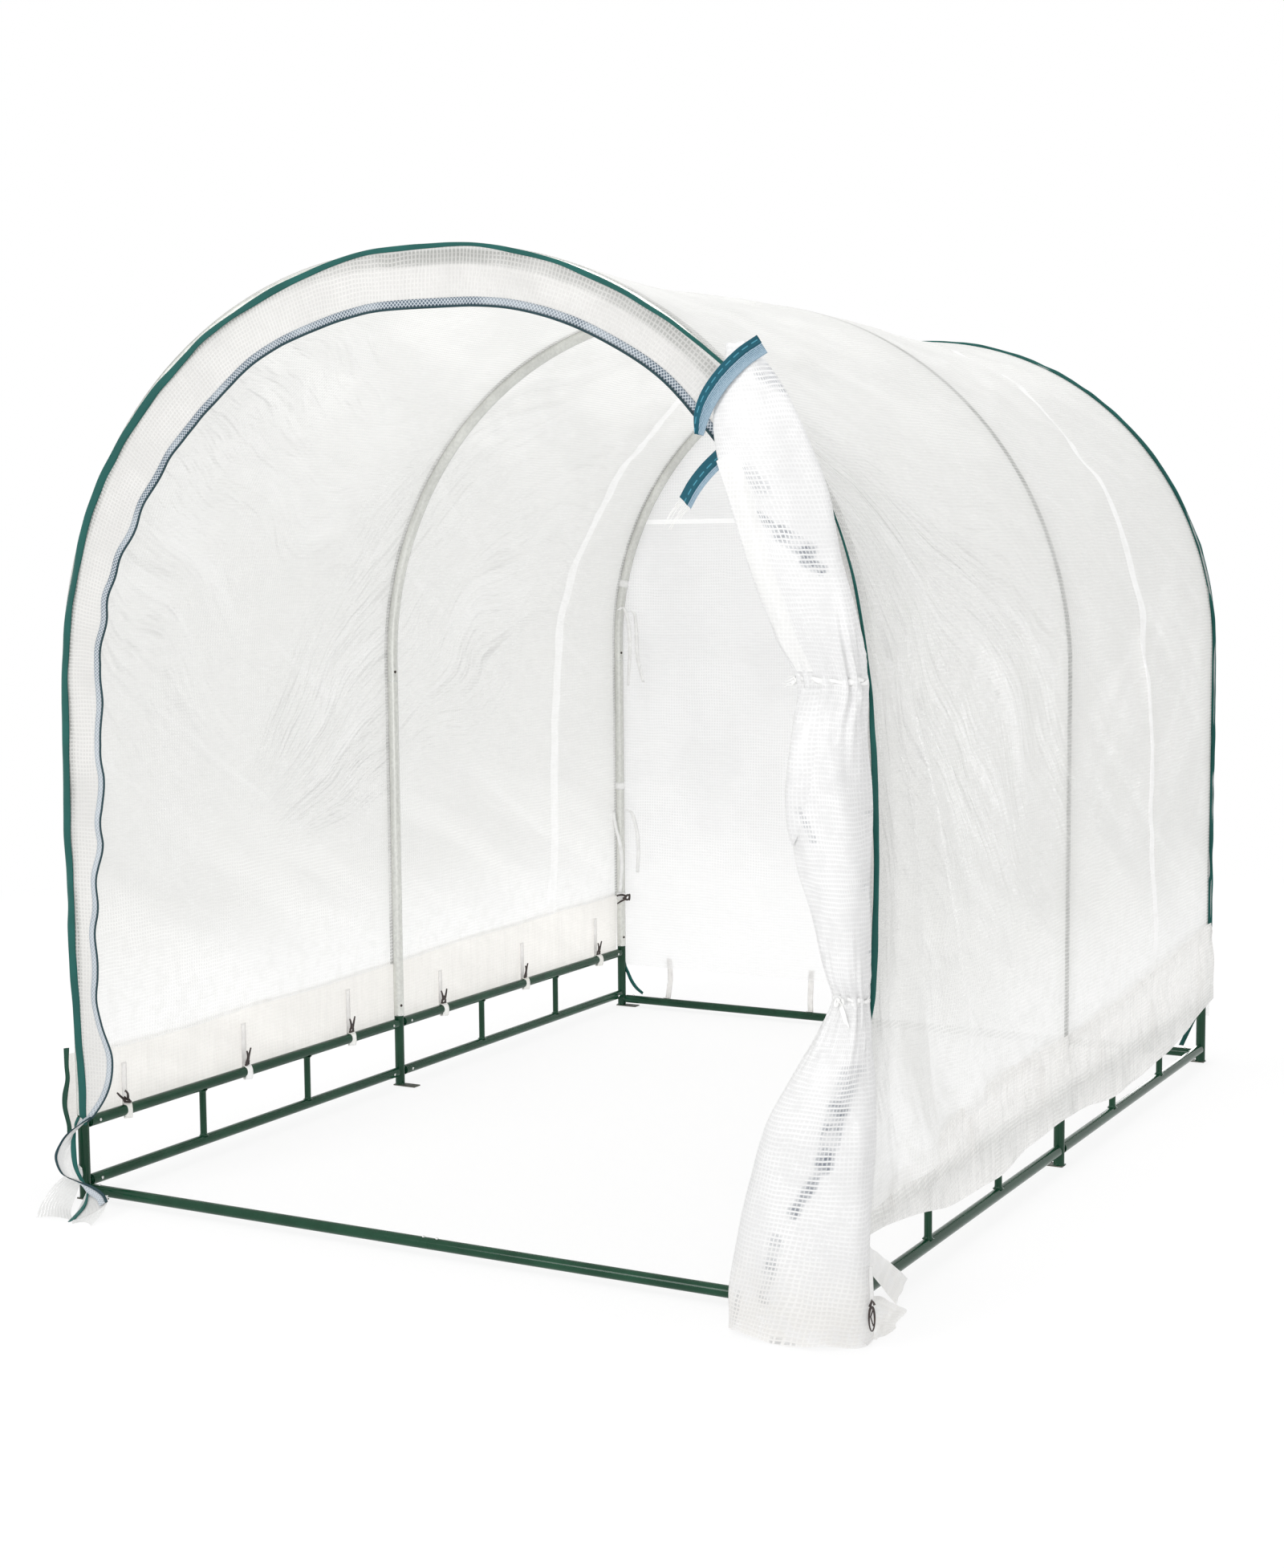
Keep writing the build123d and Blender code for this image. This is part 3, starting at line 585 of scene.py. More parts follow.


# Where painted shade marks the rolled door's inner folds: two ends as (x, z), half width, strength.
FLAP_FOLD_SHADE = (
    ((0.775, 1.722), (0.850, 1.672), 0.016, 0.55),
    ((0.850, 1.672), (0.893, 1.575), 0.015, 0.60),
    ((0.755, 1.545), (0.790, 1.512), 0.014, 0.35),
    ((0.777, 1.470), (0.822, 1.438), 0.009, 0.80),
    ((0.822, 1.438), (0.878, 1.404), 0.015, 0.90),
    ((0.873, 1.388), (0.903, 1.373), 0.010, 0.90),
    ((0.966, 0.494), (0.952, 0.430), 0.016, 0.40),
    ((0.950, 0.430), (0.928, 0.330), 0.017, 0.95),
    ((0.928, 0.330), (0.875, 0.240), 0.012, 0.85),
    ((0.842, 0.185), (0.822, 0.082), 0.014, 0.55),
    ((0.764, 0.078), (0.757, 0.025), 0.008, 0.60),
    ((0.845, 0.004), (0.880, 0.002), 0.010, 0.90),
    ((0.987, 0.950), (0.988, 0.700), 0.007, 0.80),
    ((0.905, 0.905), (0.880, 0.955), 0.008, 0.35),
)


def flap_fold_shade(tree, u, v):
    """How strong the painted shade of the folds in the rolled door is; its cloth axes aren't
    needed.
    """
    flat = tree.vector("MULTIPLY", tree.position(), (1, 0, 1))
    total = None
    for (ax, az), (bx, bz), half, strength in FLAP_FOLD_SHADE:
        along = Vector((bx - ax, 0, bz - az))
        offset = tree.vector("SUBTRACT", flat, (ax, 0, az))
        share = tree.vector("DOT_PRODUCT", offset, along / along.length_squared)
        share = tree.span(share, 0.0, 1.0)
        foot = tree.node("ShaderNodeVectorMath", {0: along, "Scale": share}, operation="SCALE")
        gap = tree.vector("DISTANCE", offset, foot.outputs[0])
        spot = tree.span(gap, half * 1.35, half * 0.55, 0.0, strength)
        total = spot if total is None else tree.math("MAXIMUM", total, spot)
    patchy = tree.span(tree.noise(tree.position(), 22.0, 2.0), 0.3, 0.55, 0.35, 1.0)
    return tree.math("MULTIPLY", total, patchy)


# Where slack folds of the cover start, along it and in y, how far they reach, which way they
# face and how far to either side they spread, in degrees.
COVER_FANS = (
    (2.15, FRONT_Y - 0.55, 2.1, -32, 36),
    (0.60, MIDDLE_Y - 0.75, 2.4, 38, 32),
    (3.25, FRONT_Y - 0.35, 2.4, 52, 50),
)
COVER = film_material(
    "cover_film", (248, 248, 246), level="u", through=0.46, scrim=0.045, fold_shading=0.6, height_shading=1.05,
    glints_and_crinkle=0.5, fans=COVER_FANS, doubled=cover_seam, tube_shade=tube_shadows,
)
REAR_FILM = film_material(
    "end_film_rear", (249, 249, 249), through=0.5, clear=0.07, scrim=0.025, fold_shading=0.25, height_shading=0.45,
    thin_low=0.5, doubled=rear_seam,
)
# The front band's film has a darker colour than the cover's: painted shade.
BAND_FILM = film_material(
    "end_film_front", (232, 231, 229), clear=0.06, level="u", scrim=0.045, tube_shade=band_tube_shadow
)
SKIRT_LEFT = film_material(
    "skirt_film_left", (247, 245, 241), clear=0.02, through=0.65, scrim=0.012, pleat_shading=0.1
)
SKIRT_RIGHT = film_material(
    "skirt_film_right", (255, 254, 252), through=0.40, gloss=0.22, scrim=0.035, fold_shading=0.1,
    pleat_shading=0.13, glints_and_crinkle=1.0,
)
FLAP_FILM = film_material(
    "end_film_flap", (252, 252, 252), clear=0.04, through=0.3, gloss=0.28, scrim=0.04,
    glints_and_crinkle=0.9, shade_spots=flap_fold_shade,
)
EDGE_FILM = film_material(
    "end_film_edge", (255, 255, 254), clear=0.0, through=0.35, scrim=0.03, fold_shading=0.25
)
# This film has a darker colour than the cover's: painted shade.
TAIL_FILM = film_material(
    "end_film_tail", (236, 236, 235), clear=0.0, through=0.35, scrim=0.02
)


def paint_material():
    """Glossy powder coat, a little dusty."""
    tree = Tree("green_paint")
    where = tree.position()
    dust = tree.span(tree.noise(where, 9.0, 4.0, 0.6), 0.4, 0.75)
    colour = tree.blend(dust, linear(15, 56, 37), linear(24, 68, 47))
    orange_peel = tree.bump(tree.noise(where, 900.0, 2.0), 0.00006, 0.6)
    rough = tree.span(tree.noise(where, 30.0, 3.0), 0.3, 0.7, 0.07, 0.15)
    shader = tree.principled(
        Base_Color=colour, Roughness=rough, Normal=orange_peel, Specular_IOR_Level=0.26
    )
    return tree.done(shader)


def steel_material(name, colour, rough=(0.34, 0.5), metal=0.85):
    """Metal with fine spangle, drawn along Z, and with painted shade towards its edges."""
    tree = Tree(name)
    where = tree.position()
    spangle = tree.noise(where, 120.0, 3.0, 0.65)
    drawn = tree.noise(where, 14.0, 2.0, stretch=(1.0, 1.0, 0.12))
    shade = tree.math("MULTIPLY", tree.math("ADD", spangle, drawn), 0.5)
    tint = tree.span(shade, 0.35, 0.65)
    tone = tree.blend(tint, linear(*[c * 0.9 for c in colour]), linear(*colour))
    # Painted shade: the tone darkens towards the edges, where the surface turns away.
    edge = tree.node("ShaderNodeLayerWeight", {"Blend": 0.35}).outputs["Facing"]
    tone = tree.blend(tree.span(edge, 0.45, 0.88), tone, linear(*[c * 0.50 for c in colour]))
    roughness = tree.span(spangle, 0.3, 0.7, *rough)
    normal = tree.bump(spangle, 0.0001, 0.4)
    return tree.done(
        tree.principled(Base_Color=tone, Metallic=metal, Roughness=roughness, Normal=normal)
    )


def tape_material(name, colour, dark, rib=0.0016, thread=None):
    """Woven tape with ribs across it, and with a row of stitches (colour, length, place)."""
    tree = Tree(name)
    u, v = tree.cloth()
    ribs = tree.span(tree.math("PINGPONG", u, rib / 2), 0.0, rib / 2)
    fade = tree.span(tree.noise(tree.position(), 12.0, 3.0), 0.35, 0.7)
    tint = tree.blend(fade, linear(*colour), linear(*[min(c * 1.1, 255) for c in colour]))
    # Painted shade in the grooves between the ribs.
    groove = tree.math("MULTIPLY", tree.math("SUBTRACT", 1.0, ribs), dark)
    tint = tree.blend(groove, tint, linear(20, 40, 48))
    if thread:
        stitch, spacing, at = thread
        row = line_mask(tree, tree.math("SUBTRACT", v, at), 0.0009, 0.0004)
        dash = tree.span(tree.math("PINGPONG", u, spacing / 2), spacing * 0.16, spacing * 0.2)
        tint = tree.blend(tree.math("MULTIPLY", row, dash), tint, linear(*stitch))
    normal = tree.bump(ribs, 0.0003, 0.8)
    return tree.done(
        tree.principled(Base_Color=tint, Roughness=0.62, Normal=normal, Specular_IOR_Level=0.25)
    )


def ribbed_tape_material():
    """The zip's film side: fine teal cords along it, paler towards its outer edge."""
    tree = Tree("zip_tape_ribbed")
    v = tree.cloth()[1]
    cord = tree.span(tree.math("PINGPONG", v, 0.0014), 0.0004, 0.0009)
    worn = tree.noise(tree.flat(), 260.0, 2.0, 0.6, stretch=(1.0, 3.0, 1.0))
    worn = tree.span(worn, 0.35, 0.6, 0.35, 1.0)
    near = tree.span(v, 0.0, 0.017, 0.5, 1.0)
    shade = tree.math("MULTIPLY", tree.math("MULTIPLY", cord, worn), near)
    tint = tree.blend(shade, linear(150, 172, 188), linear(42, 92, 112))
    normal = tree.bump(cord, 0.0004, 0.7)
    return tree.done(tree.principled(Base_Color=tint, Roughness=0.45, Normal=normal))


def zip_pale_material():
    """The zip's tape as it looks through the film's scrim: dark cells in a pale net."""
    tree = Tree("zip_tape_pale")
    u, v = tree.cloth()
    a = tree.math("PINGPONG", tree.math("ADD", u, v), 0.0042)
    b = tree.math("PINGPONG", tree.math("SUBTRACT", u, v), 0.0042)
    dots = tree.math("MULTIPLY", tree.span(a, 0.0006, 0.0014), tree.span(b, 0.0006, 0.0014))
    strength = tree.span(tree.noise(tree.position(), 9.0, 2.0), 0.35, 0.6, 0.6, 1.0)
    strength = tree.math("MULTIPLY", strength, tree.span(tree.height(), 0.9, 1.5, 0.45, 1.0))
    shown = tree.math("MULTIPLY", dots, strength)
    tint = tree.blend(shown, linear(196, 203, 209), linear(62, 80, 95))
    normal = tree.bump(dots, 0.0004, 0.6)
    return tree.done(tree.principled(Base_Color=tint, Roughness=0.5, Normal=normal))


def soft_tape_material(name, colour, through):
    """Narrow film tape, folded and see-through enough to glow."""
    tree = Tree(name)
    fold = tree.noise(tree.position(), 60.0, 3.0, 0.6)
    # Painted shade: the tint darkens where the fold noise is low, in the bump's troughs.
    dull = linear(*[c * 0.96 for c in colour])
    tint = tree.blend(tree.span(fold, 0.35, 0.65), dull, linear(*colour))
    normal = tree.bump(fold, 0.001, 0.6)
    front = tree.principled(Base_Color=tint, Roughness=0.35, Normal=normal)
    back = tree.node("ShaderNodeBsdfTranslucent", {"Color": tint, "Normal": normal}).outputs[0]
    return tree.done(tree.mix(through, front, back))


def clear_tape_material():
    """Tape as clear as the film it closes."""
    tree = Tree("zip_tape_clear")
    fold = tree.noise(tree.position(), 60.0, 3.0, 0.6)
    tint = tree.blend(fold, linear(246, 246, 246), linear(252, 252, 252))
    white = tree.node("ShaderNodeBsdfTranslucent", {"Color": tint}).outputs[0]
    clear = tree.node("ShaderNodeBsdfTransparent").outputs[0]
    return tree.done(tree.mix(tree.span(fold, 0.3, 0.7, 0.75, 0.9), white, clear))


def plastic_material():
    """The hooks' moulded plastic."""
    tree = Tree("black_plastic")
    where = tree.position()
    fade = tree.span(tree.noise(where, 60.0, 3.0), 0.35, 0.7)
    tint = tree.blend(fade, linear(44, 34, 32), linear(62, 50, 46))
    normal = tree.bump(tree.noise(where, 700.0, 2.0), 0.00008, 0.5)
    return tree.done(tree.principled(Base_Color=tint, Roughness=0.38, Normal=normal))


GREEN = paint_material()
STEEL = steel_material("galvanised_steel", (226, 227, 222), metal=0.5)
FOOT_STEEL = steel_material("foot_steel", (88, 90, 80), rough=(0.45, 0.65), metal=0.3)
SCREW = steel_material("screw_steel", (222, 224, 222), rough=(0.2, 0.35), metal=1.0)
DARK_SCREW = steel_material("screw_dark", (70, 62, 58), rough=(0.35, 0.5), metal=0.8)
TEAL = tape_material("teal_binding", (23, 84, 78), 0.2, rib=0.0019)
DARK_TEAL = tape_material("zip_coil", (36, 62, 68), 0.3, rib=0.0015)
BLUE_TEAL = tape_material("zip_tape_teal", (24, 86, 102), 0.3, thread=((70, 140, 160), 0.02, 0.009))
PALE_TAPE = ribbed_tape_material()
GREEN_BINDING = tape_material("skirt_binding", (26, 68, 52), 0.3)
ZIP_PALE = zip_pale_material()
WEBBING = tape_material("white_webbing", (243, 242, 236), 0.08, rib=0.0024)
SOFT_TAPE = soft_tape_material("film_tape", (255, 255, 254), 0.2)
TAB_TAPE = soft_tape_material("tab_tape", (255, 253, 251), 0.12)
CLEAR_TAPE = clear_tape_material()
HOOK = plastic_material()


def paint(material, *names):
    """Gives CAD nodes a finish."""
    for name in names:
        node = NODES[name]
        for slot in node.material_slots:
            slot.material = material
        if not node.material_slots:
            node.data.materials.append(material)


# ---- Ground frame and arches ---------------------------------------------------------------------
SIDES = (("left", -1), ("right", 1))
PLACES = ("front", "middle", "rear")

for side_name, side in SIDES:
    paint(GREEN, f"{side_name}_top_rails", f"{side_name}_bottom_rails", f"{side_name}_balusters")
    paint(GREEN, *[f"{place_name}_{side_name}_post" for place_name in PLACES])
paint(GREEN, "front_ground_bar", "rear_ground_bar")
paint(FOOT_STEEL, "foot_plates")
for place_name in PLACES:
    paint(STEEL, f"{place_name}_arch_legs", f"{place_name}_arch_bends")


def weld_profile(height, tube, flare):
    """A concave weld from a tube out to what it stands on."""
    steps = np.linspace(0, 1, 6)
    return [(t * height, tube + (flare - tube) * (1 - t) ** 2.2) for t in steps]


# Where the side rails meet the posts, and which way they run from there.
RAIL_ENDS = ((FRONT_Y, 1), (MIDDLE_Y, -1), (MIDDLE_Y, 1), (REAR_Y, -1))


def frame_welds():
    """Welds at the feet, the rails' and bars' ends and the balusters."""
    build = Build()
    for _, side in SIDES:
        for start, end in ((FRONT_Y, MIDDLE_Y), (MIDDLE_Y, REAR_Y)):
            for share in (1 / 3, 2 / 3):
                y = start + (end - start) * share
                foot = LOW_RAIL_Z + POST_R * 0.86
                head = TOP_RAIL_Z - POST_R * 0.86
                profile = weld_profile(0.007, 0.0081, 0.0122)
                add_lathe(build, (side * HALF_W, y, foot), (0, 0, 1), profile)
                add_lathe(build, (side * HALF_W, y, head), (0, 0, -1), profile)
        for y in ARCH_YS:
            profile = weld_profile(0.004, 0.0126, 0.0155)
            add_lathe(build, (side * HALF_W, y, 0.003), (0, 0, 1), profile)
        for y, way in RAIL_ENDS:
            for z in (TOP_RAIL_Z, LOW_RAIL_Z):
                centre = (side * HALF_W, y + way * POST_R * 0.8, z)
                add_lathe(build, centre, (0, way, 0), weld_profile(0.005, 0.0101, 0.0122))
        for y in (FRONT_Y, REAR_Y):
            centre = (side * (HALF_W - POST_R * 0.8), y, END_BAR_Z)
            add_lathe(build, centre, (-side, 0, 0), weld_profile(0.005, 0.0101, 0.0122))
    place(build.make("frame_welds", GREEN), "green_paint")


SCREW_HEAD = ((0.0, 0.0034), (0.0008, 0.0036), (0.0018, 0.003), (0.0024, 0.0018), (0.0026, 0.0004))


SCREW_INSET = 0.042  # from a post's centre
BAR_JOINT_HALF = 0.016  # from the middle of an end bar, where its halves join


def frame_screws():
    """Bright self-tapping screws near each post, inside the rails and on top of the bars."""
    build = Build()
    inner, top = HALF_W - POST_R + 0.0003, END_BAR_Z + POST_R - 0.0008
    for _, side in SIDES:
        for y, way in RAIL_ENDS:
            for z in (TOP_RAIL_Z, LOW_RAIL_Z):
                centre = (side * inner, y + way * SCREW_INSET, z)
                add_lathe(build, centre, (-side, 0, 0), SCREW_HEAD, 12)
        for y in (FRONT_Y, REAR_Y):
            for x in (HALF_W - SCREW_INSET, BAR_JOINT_HALF):
                add_lathe(build, (side * x, y, top), (0, 0, 1), SCREW_HEAD, 12)
    place(build.make("frame_screws", SCREW), "galvanised_steel")


def arch_screws():
    """Dark screws near each leg's foot and just above its top."""
    build = Build()
    for _, side in SIDES:
        for y in ARCH_YS:
            for z in (LEG_BASE_Z + 0.028, LEG_TOP_Z + 0.024):
                turn = math.radians(25)
                out = np.array([math.cos(turn), -math.sin(turn), 0])
                centre = np.array([side * HALF_W, y, z]) + out * (TUBE_R - 0.0004)
                add_lathe(build, centre, out, SCREW_HEAD, 12)
    place(build.make("arch_screws", DARK_SCREW), "galvanised_steel")


def arch_collars():
    """The swaged end of each leg, a thin bright ring, and the one over the crown."""
    build = Build()
    ring = ((-0.0016, 0.0129), (-0.001, 0.01325), (0.001, 0.01325), (0.0016, 0.0129))
    for y in ARCH_YS:
        for _, side in SIDES:
            for z in (LEG_TOP_Z, LEG_BASE_Z + 0.002):
                add_lathe(build, (side * HALF_W, y, z), (0, 0, 1), ring, 24)
        add_lathe(build, (0, y, CROWN_Z), (1, 0, 0), ring, 24)
    place(build.make("arch_collars", SCREW), "galvanised_steel")


frame_welds()
frame_screws()
arch_screws()
arch_collars()


# ---- Film cover ----------------------------------------------------------------------------------
RIGHT_SEAM_KNOTS = (0.0, 0.366, 0.542, 1.207, 1.639, 2.06, 2.372, 2.46)
RIGHT_SEAM_Z = (0.22, 0.235, 0.271, 0.292, 0.309, 0.34, 0.367, 0.37)
RIGHT_HEM_KNOTS = (0.0, 0.099, 0.473, 0.706, 1.114, 1.615, 1.89, 2.2, 2.339, 2.46)
RIGHT_HEM_Z = (0.165, 0.158, 0.107, 0.101, 0.130, 0.098, 0.111, 0.142, 0.164, 0.178)


def seam_height(y):
    """Where the right skirt is sewn to the cover."""
    return curve(y - FRONT_Y, RIGHT_SEAM_KNOTS, RIGHT_SEAM_Z)


def hem_height(y):
    """The right skirt's hem."""
    return curve(y - FRONT_Y, RIGHT_HEM_KNOTS, RIGHT_HEM_Z)


# The cover's front rim, outwards from the film's line, along it: the loaded right side pulls
# it off the arch.
RIM_S = (
    0.18, 0.53, 0.94, 1.12, 1.28, 1.42, 1.55, 1.65, 1.76, 2.01, 2.19,
    2.33, 2.48, 2.67, 3.05, 3.29, 3.45, 3.60, 3.90, 4.07, 4.45, 4.60, 4.9,
)
RIM = (
    -0.020, -0.0066, -0.0010, -0.0054, -0.0105, -0.0096, -0.0070, -0.0100,
    -0.0125, -0.0150, -0.0150, -0.0085, 0.0030, 0.0030, -0.0040, 0.0063,
    0.0210, 0.0345, 0.0400, 0.0510, 0.0520, 0.0420, 0.0320,
)


def left_skirt_top(y):
    """Where the left skirt is sewn to the cover."""
    along = y - FRONT_Y
    return 0.320 + 0.034 * ease(along / 2.4) + 0.004 * noise(along / 0.3, 0.0, 2)


def near_arch(y):
    """The distance to the nearest arch."""
    return np.minimum.reduce([np.abs(y - arch_y) for arch_y in ARCH_YS])


def cover_lift(s, y):
    """How far the film stands outside its arch line: it sags between the arches."""
    half = np.where(s > CROWN_S, FILM_S - s, s)
    right = ease((s - CROWN_S) / 0.3)
    nz = np.sin(np.clip((half - SPRING_Z) / FILM_R, 0, math.pi / 2))
    share = np.clip((y - FRONT_Y) / BAY, 0, 2)
    slack = np.abs(np.sin(np.pi * share))
    free = 1 - np.exp(-((near_arch(y) / 0.09) ** 2))
    along = y - FRONT_Y
    sag = 0.003 + 0.014 * nz**1.6
    lift = -sag * slack
    soft = 0.0045 * noise(along / 0.55, s / 0.4, 3) + 0.002 * noise(along / 0.2, s / 0.16, 5)
    folds = 0.0062 * creases(along, s, -24, 0.9, 0.16, 11)
    folds += 0.0036 * creases(along, s, 31, 0.7, 0.11, 17)
    folds += 0.0016 * creases(along, s, -40, 0.35, 0.05, 37)
    lift += free * (soft + folds)
    # Drapes that fan out below the front right-hand arch, where the wall hangs loose.
    drop = np.clip(1.25 - half, 0, 1.2)
    fan = along / (0.10 + 0.42 * drop)
    window = right * ease(drop / 0.35) * ease((fan - 0.12) / 0.3) * ease((1.9 - fan) / 0.8)
    lift += window * 0.0150 * np.cos(2 * np.pi * 1.55 * fan + 0.6)
    # Puckers where the ring seam pulls over the shoulder.
    seam = curve(s, SEAM_S, SEAM_Y)
    close = np.exp(-(((along - seam) / 0.16) ** 2)) * ease((half - 0.9) / 0.5)
    lift += close * 0.006 * creases(s, along, 62, 0.5, 0.075, 23)
    lift -= 0.004 * np.exp(-(((along - seam) / 0.02) ** 2))
    lift = np.maximum(lift, -0.02 * slack - 0.001 * (1 - slack))
    flare = np.maximum(curve(s, RIM_S, RIM) - 0.004, 0)
    return lift + flare * np.exp(-((np.maximum(along, 0) / 0.42) ** 1.5))


def film_cover():
    """The cover, from the left skirt's seam over the arches to the right skirt's."""
    y = np.linspace(FRONT_Y - TUBE_R, REAR_Y + TUBE_R, 190)
    spring = FILM_S - SPRING_Z
    left_foot = left_skirt_top(y) - 0.010
    right_foot = FILM_S - seam_height(y) + 0.012
    over = left_foot + (spring - left_foot) * np.linspace(0, 1, 260)[:, None]
    down = spring + (right_foot - spring) * np.linspace(0, 1, 66)[1:, None]
    s = np.concatenate([over, down])
    yy = np.broadcast_to(y, s.shape)
    x, z, nx, nz = arch_line(s)
    lift = cover_lift(s, yy)
    past = np.clip(np.maximum(FRONT_Y - yy, yy - REAR_Y), 0, TUBE_R)
    lift -= FILM - np.sqrt(FILM**2 - past**2)
    points = stack(x + nx * lift, yy, z + nz * lift)
    piece = Build().grid(points, stack(s, yy)).make("film_cover", COVER)
    place(
        piece,
        "cover_film",
        ("cover_left_wall", "cover_right_wall", "cover_left_shoulder", "cover_right_shoulder"),
    )


film_cover()


# ---- Skirts --------------------------------------------------------------------------------------
def left_skirt():
    """Tight along the rail; its front end opens past the corner."""
    front, rear = FRONT_Y - 0.022, REAR_Y + 0.004
    corner = FRONT_Y + 0.1
    y = np.concatenate([np.linspace(front, corner, 24), np.linspace(corner, rear, 180)[1:]])
    down = np.linspace(0, 1, 22)
    yy, t = lattice(y, down)
    along = yy - FRONT_Y
    top = left_skirt_top(yy)
    bottom = 0.152 + 0.004 * noise(along / 0.22, 0.0, 7)
    z = top + (bottom - top) * t
    flare = (0.003 + 0.002 * np.sin(z * 42)) * ease((0.05 - along) / 0.07)
    waves = 0.0024 * (0.3 + t) * (noise(along / 0.12, t * 1.2, 9) + 1)
    waves += 0.002 * creases(along, z, 74, 0.5, 0.06, 31)
    x = -(HALF_W + FILM + 0.003) - flare - np.maximum(waves, 0)
    skirt = Build().grid(stack(x, yy, z), stack(along, top - z))
    piece = skirt.make("left_skirt_film", SKIRT_LEFT)
    place(piece, "skirt_film", ("left_skirt",))


def skirt_front_binding():
    """The dark green tape on the left skirt's front end."""
    x0 = -(HALF_W + 0.0225)
    y0 = FRONT_Y - 0.0235
    knots = (
        (0.004, 0.339), (0.001, 0.300), (0.003, 0.270), (-0.004, 0.235), (-0.007, 0.205),
        (0.002, 0.170), (0.005, 0.150),
    )
    inner = [(x0 + dx + 0.004, y0 + 0.002, z) for dx, z in knots]
    outer = [(x0 + dx - 0.006 - 0.002 * math.sin(z * 60), y0 - 0.002, z - 0.002) for dx, z in knots]
    tape_piece(
        "left_skirt_binding", inner, outer, GREEN_BINDING, (0.011, 0.18), "left_skirt_film",
        held="stretched", slot="teal_binding", thick=0.0014, rows=40, bow=0.0015,
    )


def right_skirt():
    """Loose and gathered along its seam; it stands off at the hem."""
    y = np.linspace(FRONT_Y - 0.006, REAR_Y + 0.006, 330)
    down = np.linspace(0, 1, 26)
    yy, t = lattice(y, down)
    along = yy - FRONT_Y
    top = seam_height(yy) + 0.016 + 0.005 * noise(along / 0.12, 0.0, 4)
    bottom = hem_height(yy) + 0.004 * noise(along / 0.15, 0.0, 6)
    z = top + (bottom - top) * t
    gather = 0.35 + 0.65 * ease((along - 0.45) / 0.5)
    phase = along + 0.018 * noise(along / 0.2, 0.0, 8)
    phase = phase + 0.05 * t * noise(along / 0.3, 0.0, 12)
    pleat = creases(phase, t * 0.08, 8, 0.6, 0.052, 21) * 0.6
    pleat = pleat + 0.5 * noise(phase / 0.062, t * 0.8, 14)
    fullness = ease(t * 2.4 + 0.12) * (1 - 0.55 * ease((t - 0.25) / 0.5))
    x = HALF_W + FILM + 0.0035 + 0.014 * ease(t) + 0.004 * (1 - ease(t * 3))
    x = x + np.maximum(pleat + 0.35, -0.1) * 0.009 * gather * fullness
    x = x + 0.003 * np.exp(-(((t - 0.1) / 0.06) ** 2)) * gather
    end = ease((along - 2.2) / 0.15)
    x = x + 0.006 * end * ease(1 - np.abs(t - 0.45) / 0.4)
    length = np.cumsum(np.concatenate([[0], np.diff(y)]) * 1.12)
    uv = stack(length[:, None], top - z)
    piece = Build().grid(stack(x, yy, z), uv).make("right_skirt_film", SKIRT_RIGHT)
    place(piece, "skirt_film", ("right_skirt",))


left_skirt()
skirt_front_binding()
right_skirt()


# ---- End walls: bands, zips and bindings ---------------------------------------------------------
# The front band's inner edge, outwards from the film's line, along it.
BAND_S = (
    0.175, 0.19, 0.206, 0.242, 0.318, 0.40, 0.88, 1.108, 1.325, 1.499, 1.593, 1.763, 1.93,
    2.136, 2.31, 2.492, 2.645, 2.811, 2.936, 3.064, 3.198, 3.342, 3.60, 3.85, 4.1, 4.9,
)
BAND_EDGE = (
    -0.042, -0.060, -0.0735, -0.099, -0.119, -0.0955, -0.1132, -0.1199, -0.1268,
    -0.1408, -0.1471, -0.1468, -0.1458, -0.1319, -0.1281, -0.1177, -0.1179, -0.1109,
    -0.1075, -0.1045, -0.0994, -0.1021, -0.080, -0.045, -0.028, -0.022,
)


def rim_out(s):
    """How far the front end's rim stands outside the film's line."""
    left = ease((2.3 - s) / 0.5)
    wave = 0.0018 * noise(s / 0.12, 0.0, 17) + 0.0012 * noise(s / 0.05, 0.0, 19)
    return curve(s, RIM_S, RIM) + wave * (0.6 + 0.4 * left)


def band_edge(s):
    """The front band's inner edge, with the waves of its zip."""
    wavy = ease((1.9 - s) / 0.7) * ease((s - 0.36) / 0.1)
    wave = 0.0042 * np.sin(s * 41 + 1.3 * np.sin(s * 9)) + 0.003 * noise(s / 0.09, 0.0, 3)
    return curve(s, BAND_S, BAND_EDGE) - wavy * wave


def band_bow(s, t):
    """How far the front band stands in front of its plane, t from its outer to its inner edge."""
    wavy = 0.3 + 0.7 * ease((2.0 - s) / 0.8)
    wave = 0.004 * np.sin(s * 33 + 2.0 * np.sin(s * 7)) + 0.003 * noise(s / 0.12, t * 1.5, 6)
    return wavy * wave * t**1.5 + 0.0018 * noise(s / 0.05, t * 3, 8) * t


def band_plane(s, out, lift):
    """A point of the front band's plane, out from the film's line and lift in front of it."""
    x, z, nx, nz = arch_line(s)
    return stack(x + nx * out, FRONT_FILM_Y - lift, z + nz * out)


def front_band():
    """The fixed border of the front end, from the arch in to the zip."""
    ss, tt = lattice(np.linspace(0.178, FILM_S - 0.19, 620), np.linspace(0, 1, 16))
    outer, inner = rim_out(ss) - 0.006, band_edge(ss)
    out = outer + (inner - outer) * tt
    points = band_plane(ss, out, 0.001 + np.maximum(band_bow(ss, tt), -0.0008))
    piece = Build().grid(points, stack(ss, -out)).make("front_band_film", BAND_FILM)
    place(piece, "end_film", ("front_band_sides", "front_band_arch"))


